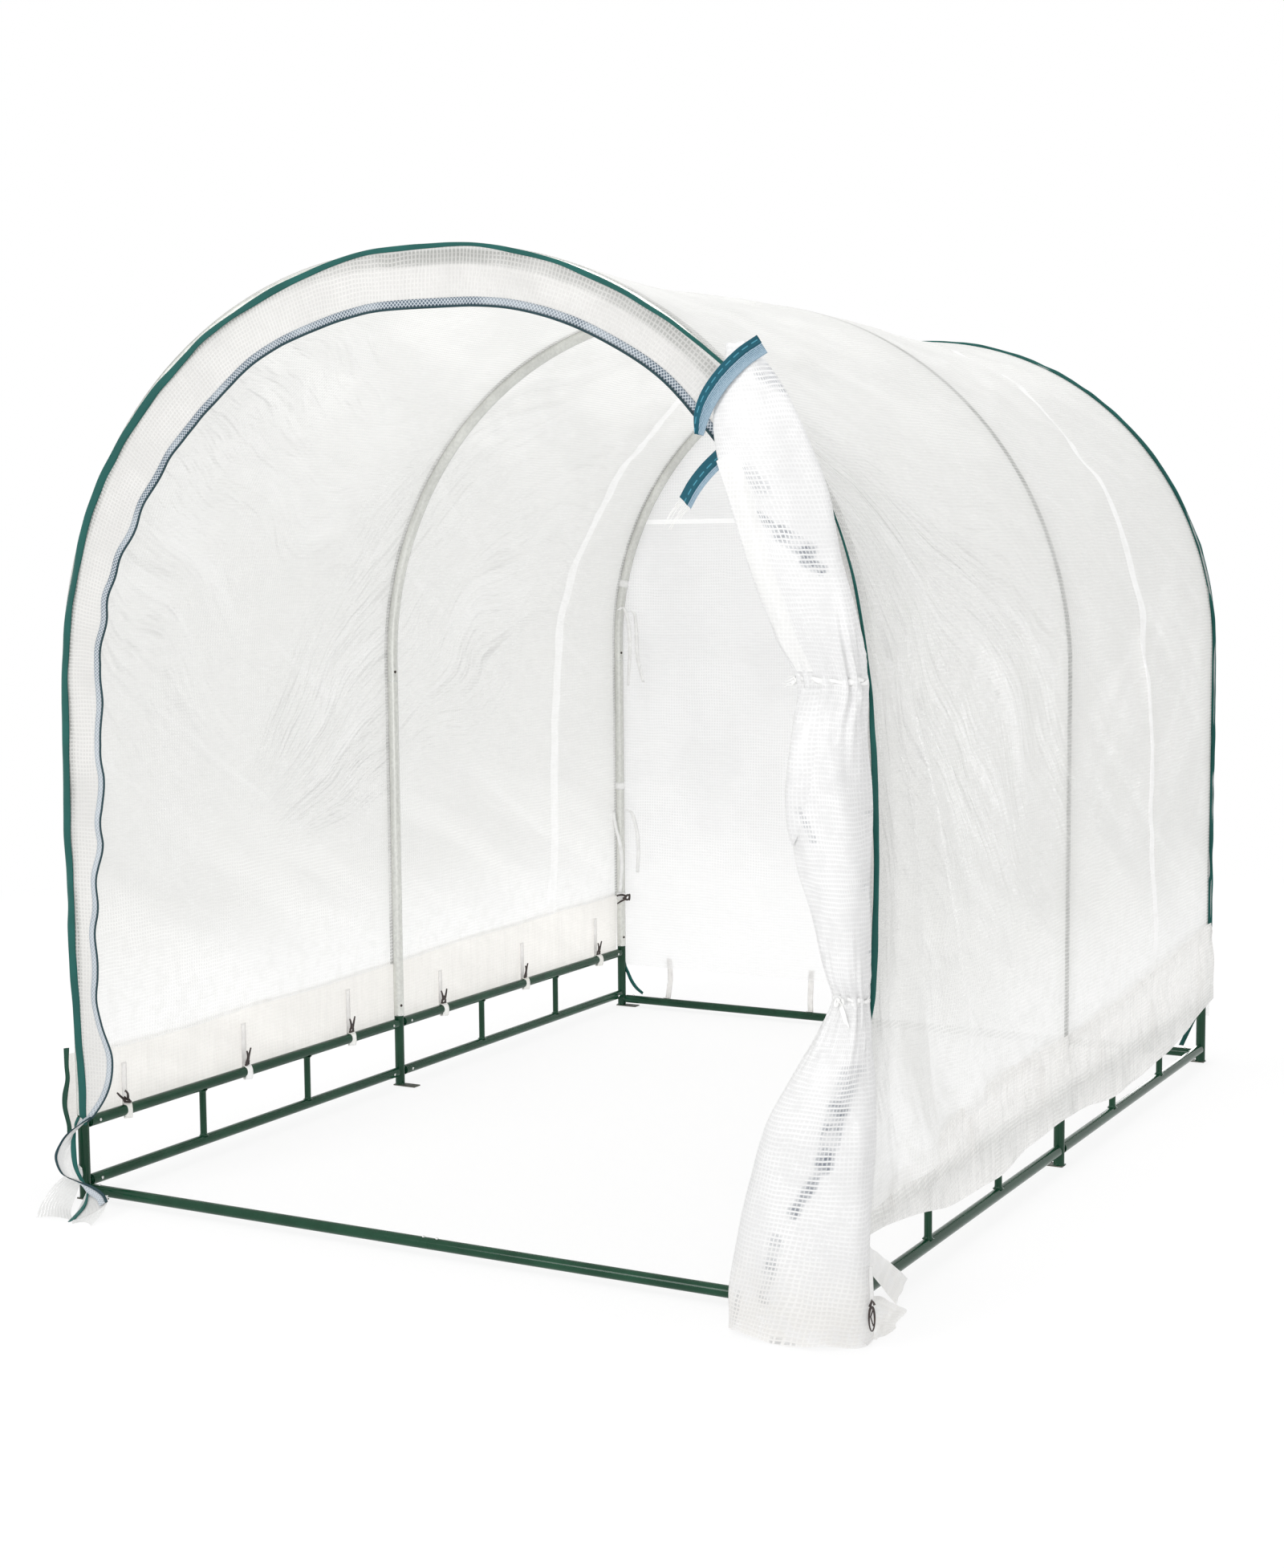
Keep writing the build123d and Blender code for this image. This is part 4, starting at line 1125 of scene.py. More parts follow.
def zip_edge(name, material, first, last, rise, thickness, replaces=()):
    """A strip along the front band's inner edge, between two distances from that edge."""
    ss, tt = lattice(np.linspace(0.178, FILM_S - 0.2, 760), np.linspace(0, 1, 4))
    out = band_edge(ss) + first + (last - first) * tt
    bow = band_bow(ss, (rim_out(ss) - out) / (rim_out(ss) - band_edge(ss)))
    points = band_plane(ss, out, 0.001 + np.maximum(bow, -0.0008) + rise)
    strip = Build().grid(points, stack(ss, (first - last) * tt))
    piece = thicken(strip.make(name, material), thickness)
    place(piece, "zip_tape", replaces)


def binding(name, y, out, s_range, replaces, wildness, rim, breadth):
    """
    The folded tape round one end of the cover, a flat tube that turns as it goes. rim and
    breadth take the distance along the arch.
    """
    s = np.linspace(*s_range, 1100)
    x, z, nx, nz = arch_line(s)
    right = ease((s - 3.35) / 0.25)
    tail = ease((s - 4.45) / 0.12) * wildness
    twist = 0.12 + wildness * (0.28 * noise(s / 0.16, 0.0, 5) + 0.15 * noise(s / 0.06, 0.0, 9))
    twist += wildness * 0.25 * right * np.sin(s * 19) + tail * 1.0 * np.sin(s * 26)
    width = breadth(s) + wildness * 0.0010 * noise(s / 0.09, 0.0, 13)
    off = rim(s) - width
    shift = wildness * 0.0012 * noise(s / 0.1, 0.0, 27)
    centre = stack(x + nx * off, y + out * (0.0022 + shift), z + nz * off)
    normal = stack(nx, 0.0, nz)
    side = np.array([0, 1.0, 0])
    broad = normal * np.cos(twist)[:, None] + side * np.sin(twist)[:, None]
    thin = -normal * np.sin(twist)[:, None] + side * np.cos(twist)[:, None]
    angle = np.linspace(0, 2 * np.pi, 12, endpoint=False)
    a = np.sign(np.cos(angle)) * np.abs(np.cos(angle)) ** 0.8
    b = np.sin(angle) * 0.26
    ring = broad[:, None] * a[None, :, None] + thin[:, None] * b[None, :, None]
    points = centre[:, None] + ring * width[:, None, None]
    turn = np.linspace(0, 0.03, 13)
    build = Build().grid(points, stack(s[:, None], turn), wrap=True)
    build.cap(points[0])
    build.cap(points[-1], flip=True)
    piece = build.make(name, TEAL)
    place(piece, "teal_binding", replaces)


# Half the width of the front binding, along the arch.
BREADTH_S = (0.17, 1.7, 2.1, 2.6, 3.1, 3.4, 3.65, 3.80, 3.93, 4.08, 4.35, 4.5, 4.9)
BREADTH = (
    0.0102, 0.0102, 0.0078, 0.0046, 0.0042, 0.0022, 0.0017, 0.0026, 0.0046, 0.0060,
    0.0064, 0.0080, 0.0085,
)


def rear_rim(s):
    """How far the rear binding's rim stands outside the film's line."""
    return 0.0065 + 0.0012 * noise(s / 0.1, 0.0, 21) + 0.0012 * noise(s / 0.04, 0.0, 23)


front_band()
zip_edge(
    "front_zip_tape", ZIP_PALE, 0.0175, 0.0025, rise=0.0012, thickness=0.0008,
    replaces=("front_zip",),
)
zip_edge("front_zip_coil", DARK_TEAL, 0.0030, -0.0014, rise=0.0022, thickness=0.0016)
binding(
    "front_binding", FRONT_FILM_Y, -1, (0.17, FILM_S - 0.20), ("front_piping",),
    wildness=1.0, rim=rim_out, breadth=lambda s: curve(s, BREADTH_S, BREADTH),
)
binding(
    "rear_binding", REAR_FILM_Y, 1, (0.172, FILM_S - 0.172), ("rear_piping",),
    wildness=0.5, rim=rear_rim, breadth=lambda s: 0.0068,
)


def rear_wall():
    """The closed rear door with the fixed band round it, as they hang from the last arch."""
    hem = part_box("rear_door")[0].z - 0.045
    rise = FILM_R * np.sin(np.linspace(0, np.pi / 2 * 0.985, 90))
    z = np.concatenate([np.linspace(hem, SPRING_Z, 84), SPRING_Z + rise[1:]])
    zz, uu = lattice(z, np.linspace(-1, 1, 150))
    x = (outline_x(zz) + 0.004) * uu
    inside = ease((1 - np.abs(uu)) / 0.12)
    hang = 0.0035 * noise(x / 0.22, zz / 0.9, 4) + 0.003 * creases(x, zz, 80, 1.0, 0.14, 9)
    hang += 0.003 * creases(x, zz, 35, 0.7, 0.12, 15)
    y = REAR_FILM_Y + 0.001 + inside * hang
    piece = Build().grid(stack(x, y, zz), stack(x, zz)).make("rear_wall_film", REAR_FILM)
    place(piece, "end_film", ("rear_door", "rear_band"))


def rear_zip():
    """The closed zip round the rear door, on the outside of the film."""
    ss, tt = lattice(np.linspace(0.176, FILM_S - 0.176, 620), np.linspace(0, 1, 4))
    x, z, nx, nz = arch_line(ss)
    build = Build()
    # The tape and its coil: two distances inwards, how far outside the film, and the swell.
    for first, last, rise, swell in (
        (0.093, 0.119, 0.006, 0.0),
        (0.1035, 0.1085, 0.0085, 0.0012),
    ):
        inwards = first + (last - first) * tt + 0.0012 * np.sin(ss * 30)
        y = REAR_FILM_Y + rise + 0.001 * np.sin(ss * 21) + swell * np.sin(np.pi * tt)
        points = stack(x - nx * inwards, y, z - nz * inwards)
        build.grid(points, stack(ss, (last - first) * tt))
    piece = build.make("rear_zip_tape", CLEAR_TAPE)
    place(piece, "zip_tape", ("rear_zip",))


rear_wall()
rear_zip()


# ---- Tied-up front door --------------------------------------------------------------------------
def at_front(points):
    """Points given in millimetres, with y from the first arch."""
    return [(x / 1000, FRONT_Y + y / 1000, z / 1000) for x, y, z in points]


FLAP_BACK = FRONT_FILM_Y - 0.0058
# Height, left and right edge from the cover's outline, and depth, from the hem up.
FLAP_OUTLINE = (
    (0.0008, -0.205, 0.072, 0.150),
    (0.03, -0.200, 0.076, 0.152),
    (0.12, -0.187, 0.080, 0.146),
    (0.27, -0.162, 0.078, 0.132),
    (0.39, -0.130, 0.073, 0.122),
    (0.48, -0.082, 0.068, 0.106),
    (0.56, -0.034, 0.058, 0.082),
    (0.612, -0.013, 0.050, 0.066),
    (0.66, -0.022, 0.056, 0.080),
    (0.755, -0.043, 0.062, 0.094),
    (0.85, -0.070, 0.062, 0.108),
    (0.966, -0.089, 0.060, 0.116),
    (1.108, -0.076, 0.052, 0.104),
    (1.178, -0.079, 0.050, 0.073),
    (1.25, -0.108, 0.050, 0.084),
    (1.32, -0.126, 0.046, 0.084),
    (1.39, -0.137, 0.046, 0.080),
    (1.46, -0.139, 0.052, 0.072),
    (1.50, -0.137, 0.060, 0.070),
    (1.53, -0.134, 0.064, 0.066),
    (1.585, -0.122, 0.070, 0.060),
    (1.642, -0.092, 0.080, 0.054),
    (1.70, -0.036, 0.092, 0.046),
    (1.745, 0.020, 0.100, 0.038),
    (1.775, 0.054, 0.106, 0.026),
)
FLAP_TIES = (0.612, 1.178)
FLAP_TURNS = 3.05


def flap_shape(z):
    """The rolled door's left and right edge and its depth at a height."""
    heights, left, right, depth = zip(*FLAP_OUTLINE)
    edge = outline_x(z)
    return edge + curve(z, heights, left), edge + curve(z, heights, right), curve(z, heights, depth)


def flap_tightness(z):
    """1 where a tie gathers the film, 0 away from it."""
    return np.maximum.reduce([np.exp(-(((z - tie) / 0.075) ** 2)) for tie in FLAP_TIES])


def flap_front(x, z):
    """The y of the rolled door's front at x and z."""
    left, right, depth = flap_shape(z)
    across = np.clip(np.abs(2 * x - left - right) / (right - left), 0, 0.999)
    swell = (1 - across ** (2 / 0.86)) ** (0.80 / 2)
    return FLAP_BACK - depth / 2 - depth / 2 * swell


def door_flap():
    """The door rolled up loosely and tied twice: one sheet that winds three times round."""
    low, high = FLAP_OUTLINE[0][0], FLAP_OUTLINE[-1][0]
    levels = [np.linspace(low, high, 150)]
    levels += [np.linspace(tie - 0.03, tie + 0.03, 13) for tie in FLAP_TIES]
    zz, tt = lattice(np.unique(np.concatenate(levels)), np.linspace(0, 1, 330))
    left, right, depth = flap_shape(zz)
    tight = flap_tightness(zz)
    angle = -2 * np.pi * FLAP_TURNS * tt + 2.75 + 0.5 * np.sin(zz * 2.1)
    size = 0.42 + 0.58 * ease(tt) ** 0.8 - 0.07 * tight * (1 - tt)
    # Folds run up between the ties, close up at each tie and open out below them.
    drift = angle + 0.6 * np.sin(zz * 5.2 + 0.8) + 0.35 * noise(zz / 0.16, tt, 4)
    folds = 0.040 * np.sin(drift * 3 + 0.7) + 0.026 * np.sin(drift * 5 - 1.1 + zz * 9)
    folds += 0.050 * noise(angle * 0.9, zz / 0.20, 33) + 0.018 * noise(angle * 2.6, zz / 0.07, 35)
    gathers = 0.07 * tight * np.sin(angle * 11 + 2.2 * noise(angle, zz / 0.05, 3))
    gathers += 0.035 * np.sqrt(tight) * np.sin(angle * 19 + 3.0 * noise(angle, zz / 0.12, 9))
    spread = 0.045 * ease((0.25 - zz) / 0.25) * np.sin(angle * 4 + 1.1)
    size = size * (1 + (1 - tight) * folds + gathers + spread)
    size = np.minimum(size, 1.04)
    c, s = np.cos(angle), np.sin(angle)
    box_x = np.sign(c) * np.abs(c) ** 0.86
    box_y = np.sign(s) * np.abs(s) ** 0.80
    x = (left + right) / 2 + (right - left) / 2 * size * box_x
    y = FLAP_BACK - depth / 2 + depth / 2 * size * box_y
    y = np.minimum(y, FLAP_BACK + 0.002)
    floor = ease((0.05 - zz) / 0.05)
    height = zz + 0.004 * (1 - floor) * noise(angle, zz / 0.1, 8)
    height = np.maximum(height + floor * 0.004 * (1 + np.sin(angle * 5)) * tt, 0.0008)
    points = stack(x, y, height)
    uv = stack(arc_lengths(points[22]), zz)
    piece = Build().grid(points, uv).make("door_flap_film", FLAP_FILM)
    place(piece, "end_film", ("door_flap",))


def flap_layer(name, material, left_edge, right_edge, out, bulge, seed):
    """A loose layer over the rolled door's front, between two edges given as (x, z)."""
    t = np.linspace(0, 1, 70)
    u = np.linspace(0, 1, 22)
    left, right = (
        curve(t, np.linspace(0, 1, len(edge)), np.array(edge)) for edge in (left_edge, right_edge)
    )
    xz = left[:, None] * (1 - u)[None, :, None] + right[:, None] * u[None, :, None]
    x, z = xz[..., 0], xz[..., 1]
    across = np.sin(np.pi * u)[None, :] * np.sin(np.pi * t)[:, None]
    ripple = 0.0022 * noise(u[None, :] * 4 + t[:, None], t[:, None] * 5, seed)
    loose = (1 - u)[None, :] ** 0.6
    y = flap_front(x, z) + 0.004 - (out + 0.004 + bulge * across + ripple) * loose
    piece = Build().grid(stack(x, y, z), stack(x - x.min(), z)).make(name, material)
    place(piece, "end_film")


def flap_layers():
    """The door's free side edge above the upper tie, and the pocket of film below it."""
    flap_layer(
        "door_flap_free_edge", EDGE_FILM,
        ((0.687, 1.566), (0.723, 1.485), (0.778, 1.337), (0.820, 1.251), (0.853, 1.195)),
        ((0.745, 1.590), (0.775, 1.490), (0.822, 1.350), (0.862, 1.260), (0.888, 1.195)),
        out=0.003, bulge=0.006, seed=5,
    )
    flap_layer(
        "door_flap_pocket", FLAP_FILM,
        ((0.868, 1.166), (0.846, 1.090), (0.836, 0.990), (0.838, 0.930), (0.848, 0.889)),
        ((0.925, 1.166), (0.930, 1.105), (0.906, 0.968), (0.880, 0.922), (0.856, 0.889)),
        out=0.004, bulge=0.012, seed=8,
    )


def flap_wing(name, corners, seed, flat):
    """A corner of the hem that lies spread out; corners run round a quadrilateral."""
    uu, vv = lattice(np.linspace(0, 1, 40), np.linspace(0, 1, 30))
    shares = ((1 - uu) * (1 - vv), uu * (1 - vv), uu * vv, (1 - uu) * vv)
    x, y, lift = (
        sum(corner[axis] * share for corner, share in zip(corners, shares)) for axis in range(3)
    )
    x = x + 0.003 * noise(vv * 5, uu * 2, seed + 1)
    y = y + 0.004 * noise(uu * 5, vv * 2, seed + 2)
    z = lift + 0.009 * np.abs(noise(uu * 3.2, vv * 2.6, seed))
    z = z + 0.006 * np.maximum(creases(uu, vv, 35, 1.4, 0.35, seed), 0)
    points = stack(x, y, np.maximum(z, 0.0009))
    width, length = flat
    piece = Build().grid(points, stack(uu * width, vv * length + 0.06)).make(name, FLAP_FILM)
    place(piece, "end_film")


def around_waist(z, grow, count=90):
    """Points round the door at a height."""
    left, right, depth = (float(value) for value in flap_shape(np.array(z)))
    angle = np.linspace(0, 2 * np.pi, count, endpoint=False)
    x = (left + right) / 2 + ((right - left) / 2 + grow) * np.cos(angle)
    y = FLAP_BACK - depth / 2 + (depth / 2 + grow) * np.sin(angle)
    return x, np.minimum(y, FLAP_BACK + 0.003), angle


def door_ties():
    """Two film tapes tied round the door."""
    build = Build()
    for seed, tie in enumerate(FLAP_TIES):
        for wind, (rise, grow) in enumerate(((-0.002, -0.001), (0.002, 0.0))):
            x, y, angle = around_waist(tie, grow)
            pinch = 0.0016 * np.sin(angle * 11 + wind * 2) + 0.001 * np.sin(angle * 23 + seed)
            x, y = x + pinch * np.cos(angle), y + pinch * np.sin(angle)
            wave = (0.005 - 0.010 * wind) * np.sin(angle + 0.6 + seed)
            wave = wave + 0.0015 * np.sin(angle * 9 + wind)
            centre = stack(x, y, tie + rise + wave)
            high = stack(0.0, 0.0, 0.0042 + 0.0012 * np.sin(angle * 7 + wind))
            ring = np.stack([centre - high, centre, centre + high])
            run = np.linspace(0, 0.4, len(angle) + 1)
            build.grid(ring, stack(run, np.linspace(0, 0.012, 3)[:, None]), wrap=True)
    piece = thicken(build.make("door_tie_bands", SOFT_TAPE), 0.0012)
    place(piece, "end_film", ("door_ties",))


def tie_knots():
    """The knots of both ties, the wisps at the upper one and the loose end of the lower one."""
    lower_tie, upper_tie = FLAP_TIES
    left, _, depth = (float(value) for value in flap_shape(np.array(upper_tie)))
    upper = np.array([left - 0.002, FLAP_BACK - depth * 0.55, upper_tie])
    left, right, depth = (float(value) for value in flap_shape(np.array(lower_tie)))
    lower = np.array([(left + right) / 2 - 0.008, FLAP_BACK - depth - 0.001, lower_tie])
    build = Build()
    turn = np.linspace(0, 2 * np.pi, 40)
    for centre, side, size in ((upper, (-0.35, -1, 0), 0.0075), (lower, (0.4, -1, 0), 0.008)):
        side = np.array(side) / np.linalg.norm(side)
        over = np.cross(side, [0, 0, 1.0])
        knot = centre + np.outer(size * 0.9 * np.sin(turn), over)
        knot = knot + np.outer(size * 0.8 * np.sin(2 * turn + 0.5), [0, 0, 1])
        knot = knot + np.outer(0.004 + 0.003 * np.cos(3 * turn), side)
        add_tube(build, knot, 0.0026 + 0.0007 * np.sin(turn * 5), 8, flat=0.75, up=side)
    t = np.linspace(0, 1, 8)
    for way in range(5):
        rise = (0.008 - 0.006 * way) * t + 0.004 * np.sin(t * 4 + way)
        wisp = upper + stack(-(0.016 + 0.005 * (way % 3)) * t, -0.010 * t, rise)
        add_tube(build, wisp, 0.0014 - 0.0008 * t, 6)
    place(build.make("door_tie_knots", SOFT_TAPE), "end_film")
    drop = (
        (0, 0, 0), (0.010, -0.006, -0.020), (0.018, -0.008, -0.042), (0.024, -0.002, -0.062),
        (0.031, 0.004, -0.084),
    )
    path = lower + np.array(drop)
    side = np.cross(np.gradient(path, axis=0), [0, -1.0, 0.15])
    side = side / np.linalg.norm(side, axis=1, keepdims=True) * 0.0085 / 2
    tape_piece(
        "door_tie_end_1", path - side, path + side, SOFT_TAPE, (0.0102, 0.092), "door_tie_knots",
        thick=0.0012, rows=24, columns=5, bow=0.0015,
    )


door_flap()
flap_layers()
door_ties()
tie_knots()
flap_wing(
    "door_flap_wing_back",
    at_front([(932, 4, 125), (938, 10, 150), (962, 172, 40), (965, 100, 3)]),
    seed=3,
    flat=(0.17, 0.055),
)
flap_wing(
    "door_flap_wing_front",
    at_front([(924, 60, 40), (992, 93, 3), (1012, -31, 2), (993, -124, 1)]),
    seed=8,
    flat=(0.13, 0.083),
)


def flap_edge_tapes():
    """The freed half of the zip on the door's top edge, and its loose end."""

    def zip_piece(name, edge_a, edge_b, material, flat, **shape):
        tape_piece(
            name, edge_a, edge_b, material, flat, "door_flap_film", slot="zip_tape", columns=7,
            **shape,
        )

    spine = np.array(at_front([
        (768, -48, 1772), (735, -60, 1749), (700, -67, 1716), (672, -68, 1681), (655, -65, 1647),
        (648, -60, 1614),
    ]))
    side = np.cross(np.gradient(spine, axis=0), [0, -1.0, 0])
    side /= np.linalg.norm(side, axis=1, keepdims=True)
    taper = np.array([1, 1, 1, 1, 0.85, 0.5])[:, None]
    front = np.array([[0, -0.003, 0]])
    zip_piece(
        "door_zip_teal", spine + side * 0.001, spine + side * 0.017 * taper, BLUE_TEAL,
        (0.016, 0.20), thick=0.002, rows=70, bow=0.003, replaces=("flap_zip_tape",),
    )
    zip_piece(
        "door_zip_ribbed", spine - side * 0.022 * taper + front, spine - side * 0.0005 + front,
        PALE_TAPE, (0.021, 0.20), thick=0.001, rows=70, bow=0.002,
    )
    loose = np.array(at_front([
        (690, -48, 1576), (664, -60, 1548), (640, -62, 1520), (620, -58, 1492),
    ]))
    side = np.array([[-0.0085, 0, 0.0085]])
    zip_piece(
        "door_zip_loose_teal", loose - side * 0.35, loose + side * 1.45, BLUE_TEAL,
        (0.0215, 0.115), thick=0.002, rows=40, bow=0.002,
    )
    zip_piece(
        "door_zip_loose_ribbed", loose - side * 1.15, loose - side * 0.35, PALE_TAPE,
        (0.0102, 0.115), thick=0.001, rows=40, bow=0.002,
    )
    build = Build()
    t = np.linspace(0, 1, 8)
    for i in range(9):
        root = loose[-1] + np.array([-0.009 + 0.0022 * i, 0.0, 0.010 - 0.0022 * i])
        reach = 0.012 + 0.028 * abs(math.sin(i * 2.4))
        fall = stack(-reach * t, 0.003 * np.sin(t * 5 + i), -reach * (0.75 * t + 0.35 * t**2))
        add_tube(build, root + fall, 0.0005, 5)
    place(build.make("door_zip_frayed_threads", WEBBING), "zip_tape")


flap_edge_tapes()


# ---- Loose ends of the zips and bindings ---------------------------------------------------------
def front_tail():
    """The front band's foot on the left: it twists at the rail, loops out and lands in front."""
    slate = np.array(at_front([
        (-864, -24, 191), (-879, -34, 180), (-909, -50, 155), (-931, -58, 122), (-936, -60, 96),
        (-919, -60, 67), (-882, -60, 57), (-831, -64, 51), (-790, -76, 42), (-767, -90, 32),
    ]))
    teal = np.array(at_front([
        (-902, -20, 186), (-904, -28, 172), (-906, -36, 154), (-901, -46, 124), (-893, -50, 86),
        (-874, -54, 60), (-852, -62, 44), (-837, -74, 33), (-815, -110, 18), (-808, -150, 3),
    ]))
    tape_piece(
        "front_tail_film", slate, teal, TAIL_FILM, (0.045, 0.26), "front_band_film",
        rows=90, columns=14, bow=0.006, replaces=("front_zip_tail",),
    )
    out = (slate - teal) / np.linalg.norm(slate - teal, axis=1, keepdims=True)
    front = np.array([[0, -0.0016, 0.0006]])
    edge = slate - out * 0.004
    tape_piece(
        "front_tail_edge", slate + out * 0.002 + front, edge + front, DARK_TEAL, (0.01, 0.22),
        "front_tail_film", slot="zip_tape", thick=0.002, rows=120, columns=3,
    )
    tape_piece(
        "front_tail_zip", edge + front * 0.7, slate - out * 0.018 + front * 0.7, ZIP_PALE,
        (0.014, 0.25), "front_tail_film", slot="zip_tape", thick=0.0008, rows=120,
    )
    width = np.array([[6, 6, 7, 9, 9, 9, 10, 14, 16, 16]]).T / 1000
    tape_piece(
        "front_tail_binding", teal - out * width + front, teal + out * width * 0.3 + front, TEAL,
        (0.0145, 0.25), "front_tail_film", slot="teal_binding", thick=0.0016, rows=120,
    )
    tape_piece(
        "front_tail_floor_left",
        at_front([
            (-908, -20, 84), (-922, -24, 70), (-944, -60, 40), (-940, -104, 12), (-898, -168, 1.2),
        ]),
        at_front([
            (-898, -22, 74), (-888, -32, 58), (-872, -68, 34), (-850, -112, 8), (-812, -150, 1.2),
        ]),
        TAIL_FILM, (0.045, 0.20), "front_tail_film", held="laid", columns=14, bow=0.005,
    )
    tape_piece(
        "front_tail_puddle",
        at_front([(-792, -60, 36), (-768, -90, 30), (-752, -128, 14), (-748, -160, 1.2)]),
        at_front([(-850, -60, 40), (-836, -92, 26), (-818, -134, 8), (-800, -166, 1.2)]),
        TAIL_FILM, (0.075, 0.10), "front_tail_film", held="laid", rows=40, columns=16, bow=0.006,
    )


def rear_tail(name, edge_a, edge_b, flat, replaces=()):
    """A loose binding end that droops from a rear corner; y in millimetres from the film."""
    edges = [
        [(x / 1000, REAR_FILM_Y + y / 1000, z / 1000) for x, y, z in edge]
        for edge in (edge_a, edge_b)
    ]
    tape_piece(
        name, *edges, TEAL, flat, "rear_binding", slot="teal_binding", thick=0.0014, rows=60,
        bow=0.001, replaces=replaces,
    )


def rear_tails():
    """The binding's ends at both rear corners."""
    rear_tail(
        "rear_tail_left",
        [
            (-913, -6, 150), (-906, -6, 120), (-897, -6, 100), (-884, -6, 74), (-866, -6, 53),
            (-842, -6, 37.5),
        ],
        [
            (-903, -6, 152), (-897, -6, 124), (-888, -6, 106), (-875, -6, 81), (-858, -6, 60),
            (-838, -6, 45),
        ],
        (0.010, 0.13),
        ("rear_zip_tail",),
    )
    rear_tail(
        "rear_tail_right",
        [(916, 6, 176), (903, 9, 142), (884, 10, 100), (868, 8, 62), (858, 2, 36.5)],
        [(902, 2, 176), (890, 4, 142), (872, 4, 100), (857, 2, 64), (846, -2, 38)],
        (0.014, 0.16),
    )


front_tail()
rear_tails()


# ---- Straps, hooks, loops and tapes --------------------------------------------------------------
STRAPS_A_SIDE = 6
STRAP_W = 0.0175
LEG_HOOK_Z = 0.346  # a loop and its hook on the rear left leg


def strap_spots():
    """Where the straps grip the top rails, read from their CAD solids."""
    low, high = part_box("rail_straps")
    return np.linspace(low.y + 0.009, high.y - 0.009, STRAPS_A_SIDE)


def band_round(build, centre, axis, across, radius, width, droop=0.0, squash=1.0, arc=None):
    """
    A flat strap round a tube; droop pulls its lower side off the tube. arc is where an open
    one starts and how far it goes, in radians from across.
    """
    axis, across = np.array(axis, float), np.array(across, float)
    over = np.cross(across, axis)
    start, spread = arc or (0.0, 2 * np.pi)
    count = 30 if arc else 40
    angle = start + np.linspace(0, spread, count, endpoint=bool(arc))
    reach = radius + droop * np.clip(-np.sin(angle), 0, 1) ** 2
    ring = np.outer(np.cos(angle) * squash, across) + np.outer(np.sin(angle), over)
    line = np.asarray(centre, float) + ring * reach[:, None]
    t = np.linspace(-0.5, 0.5, 4)
    points = line[None] + axis[None, None] * (t * width)[:, None, None]
    run = np.linspace(0, spread * radius, count if arc else count + 1)
    build.grid(points, stack(run[None, :], ((t + 0.5) * width)[:, None]), wrap=not arc)


def add_strap(build, line, across, width):
    """A flat strap that runs up a line of points."""
    t = np.linspace(-0.5, 0.5, 4) * width
    points = line[:, None] + t[None, :, None] * np.array(across)
    build.grid(points, stack(line[:, 2:3], t[None, :]))


def rail_straps():
    """Webbing looped round the top rails, under each hook."""
    build = Build()
    for _, side in SIDES:
        for i, y in enumerate(strap_spots()):
            turn = math.radians(38 + (-1) ** i * 4)
            axis = (-side * math.sin(turn), math.cos(turn), 0)
            across = (math.cos(turn), side * math.sin(turn), 0)
            centre = (side * HALF_W, y, TOP_RAIL_Z)
            radius = POST_R + 0.0014
            band_round(build, centre, axis, across, radius, STRAP_W, droop=0.006, squash=1.25)
    piece = thicken(build.make("rail_strap_loops", WEBBING), 0.0014)
    place(piece, "white_webbing", ("rail_straps",))


def skirt_tabs():
    """The webbing tabs sewn up the skirts over each hook."""
    build = Build()
    for side, foot, head, step, off in (
        (-1, 0.172, 0.272, 0.010, 0.0008),
        (1, 0.176, 0.262, 0.008, 0.0020),
    ):
        for i, y in enumerate(strap_spots()):
            z = np.linspace(foot, head + step * (i % 3), 14)
            line = stack(side * (HALF_W + FILM + off), y + 0.008, z)
            add_strap(build, line, (0, 1, 0), 0.017)
    piece = thicken(build.make("skirt_tabs", TAB_TAPE), 0.001)
    place(piece, "white_webbing")


def one_hook(build, origin, up, side, turn, size=1.0):
    """A two-pronged spring hook standing on its strap."""
    up, side = np.array(up, float), np.array(side, float)
    ahead = np.cross(up, side)
    side = side * math.cos(turn) + ahead * math.sin(turn)
    ahead = np.cross(up, side)
    origin = np.array(origin, float)

    def at(across, high, out=0.0):
        return origin + (side * across + up * high + ahead * out) * size

    angle = np.linspace(0, 2 * np.pi, 17)
    eye = [at(0.0066 * math.cos(a), 0.006 + 0.0058 * math.sin(a)) for a in angle]
    add_tube(build, eye, 0.0026 * size, 7, up=ahead)
    bar = [at(-0.0085, 0.0008), at(-0.004, -0.0004), at(0.004, -0.0004), at(0.0085, 0.0008)]
    add_tube(build, bar, 0.0028 * size, 7, up=ahead)
    t = np.linspace(0, 1, 12)
    for way, long, spread in (
        (-1, 0.028, 0.003 + 0.009 * t**1.3),
        (1, 0.031, 0.003 + 0.007 * t + 0.003 * np.sin(t * np.pi)),
    ):
        prong = [
            at(way * a, 0.008 + long * b, 0.002 * way * math.sin(b * 3))
            for a, b in zip(spread, t)
        ]
        add_tube(build, prong, (0.0032 - 0.0012 * t) * size, 8, up=ahead)
        tip = prong[-1]
        barb = tip - side * way * 0.0028 * size - up * 0.004 * size
        add_tube(build, [tip, (tip + barb) / 2, barb], 0.0011 * size, 6, up=ahead)
    web = [at(0, 0.010), at(0, 0.015), at(0.0005, 0.021)]
    add_tube(build, web, np.array([0.0042, 0.0034, 0.0012]) * size, 8, flat=0.5, up=ahead)


def unit(*vector):
    """The vector with a length of 1."""
    return np.array(vector) / np.linalg.norm(vector)


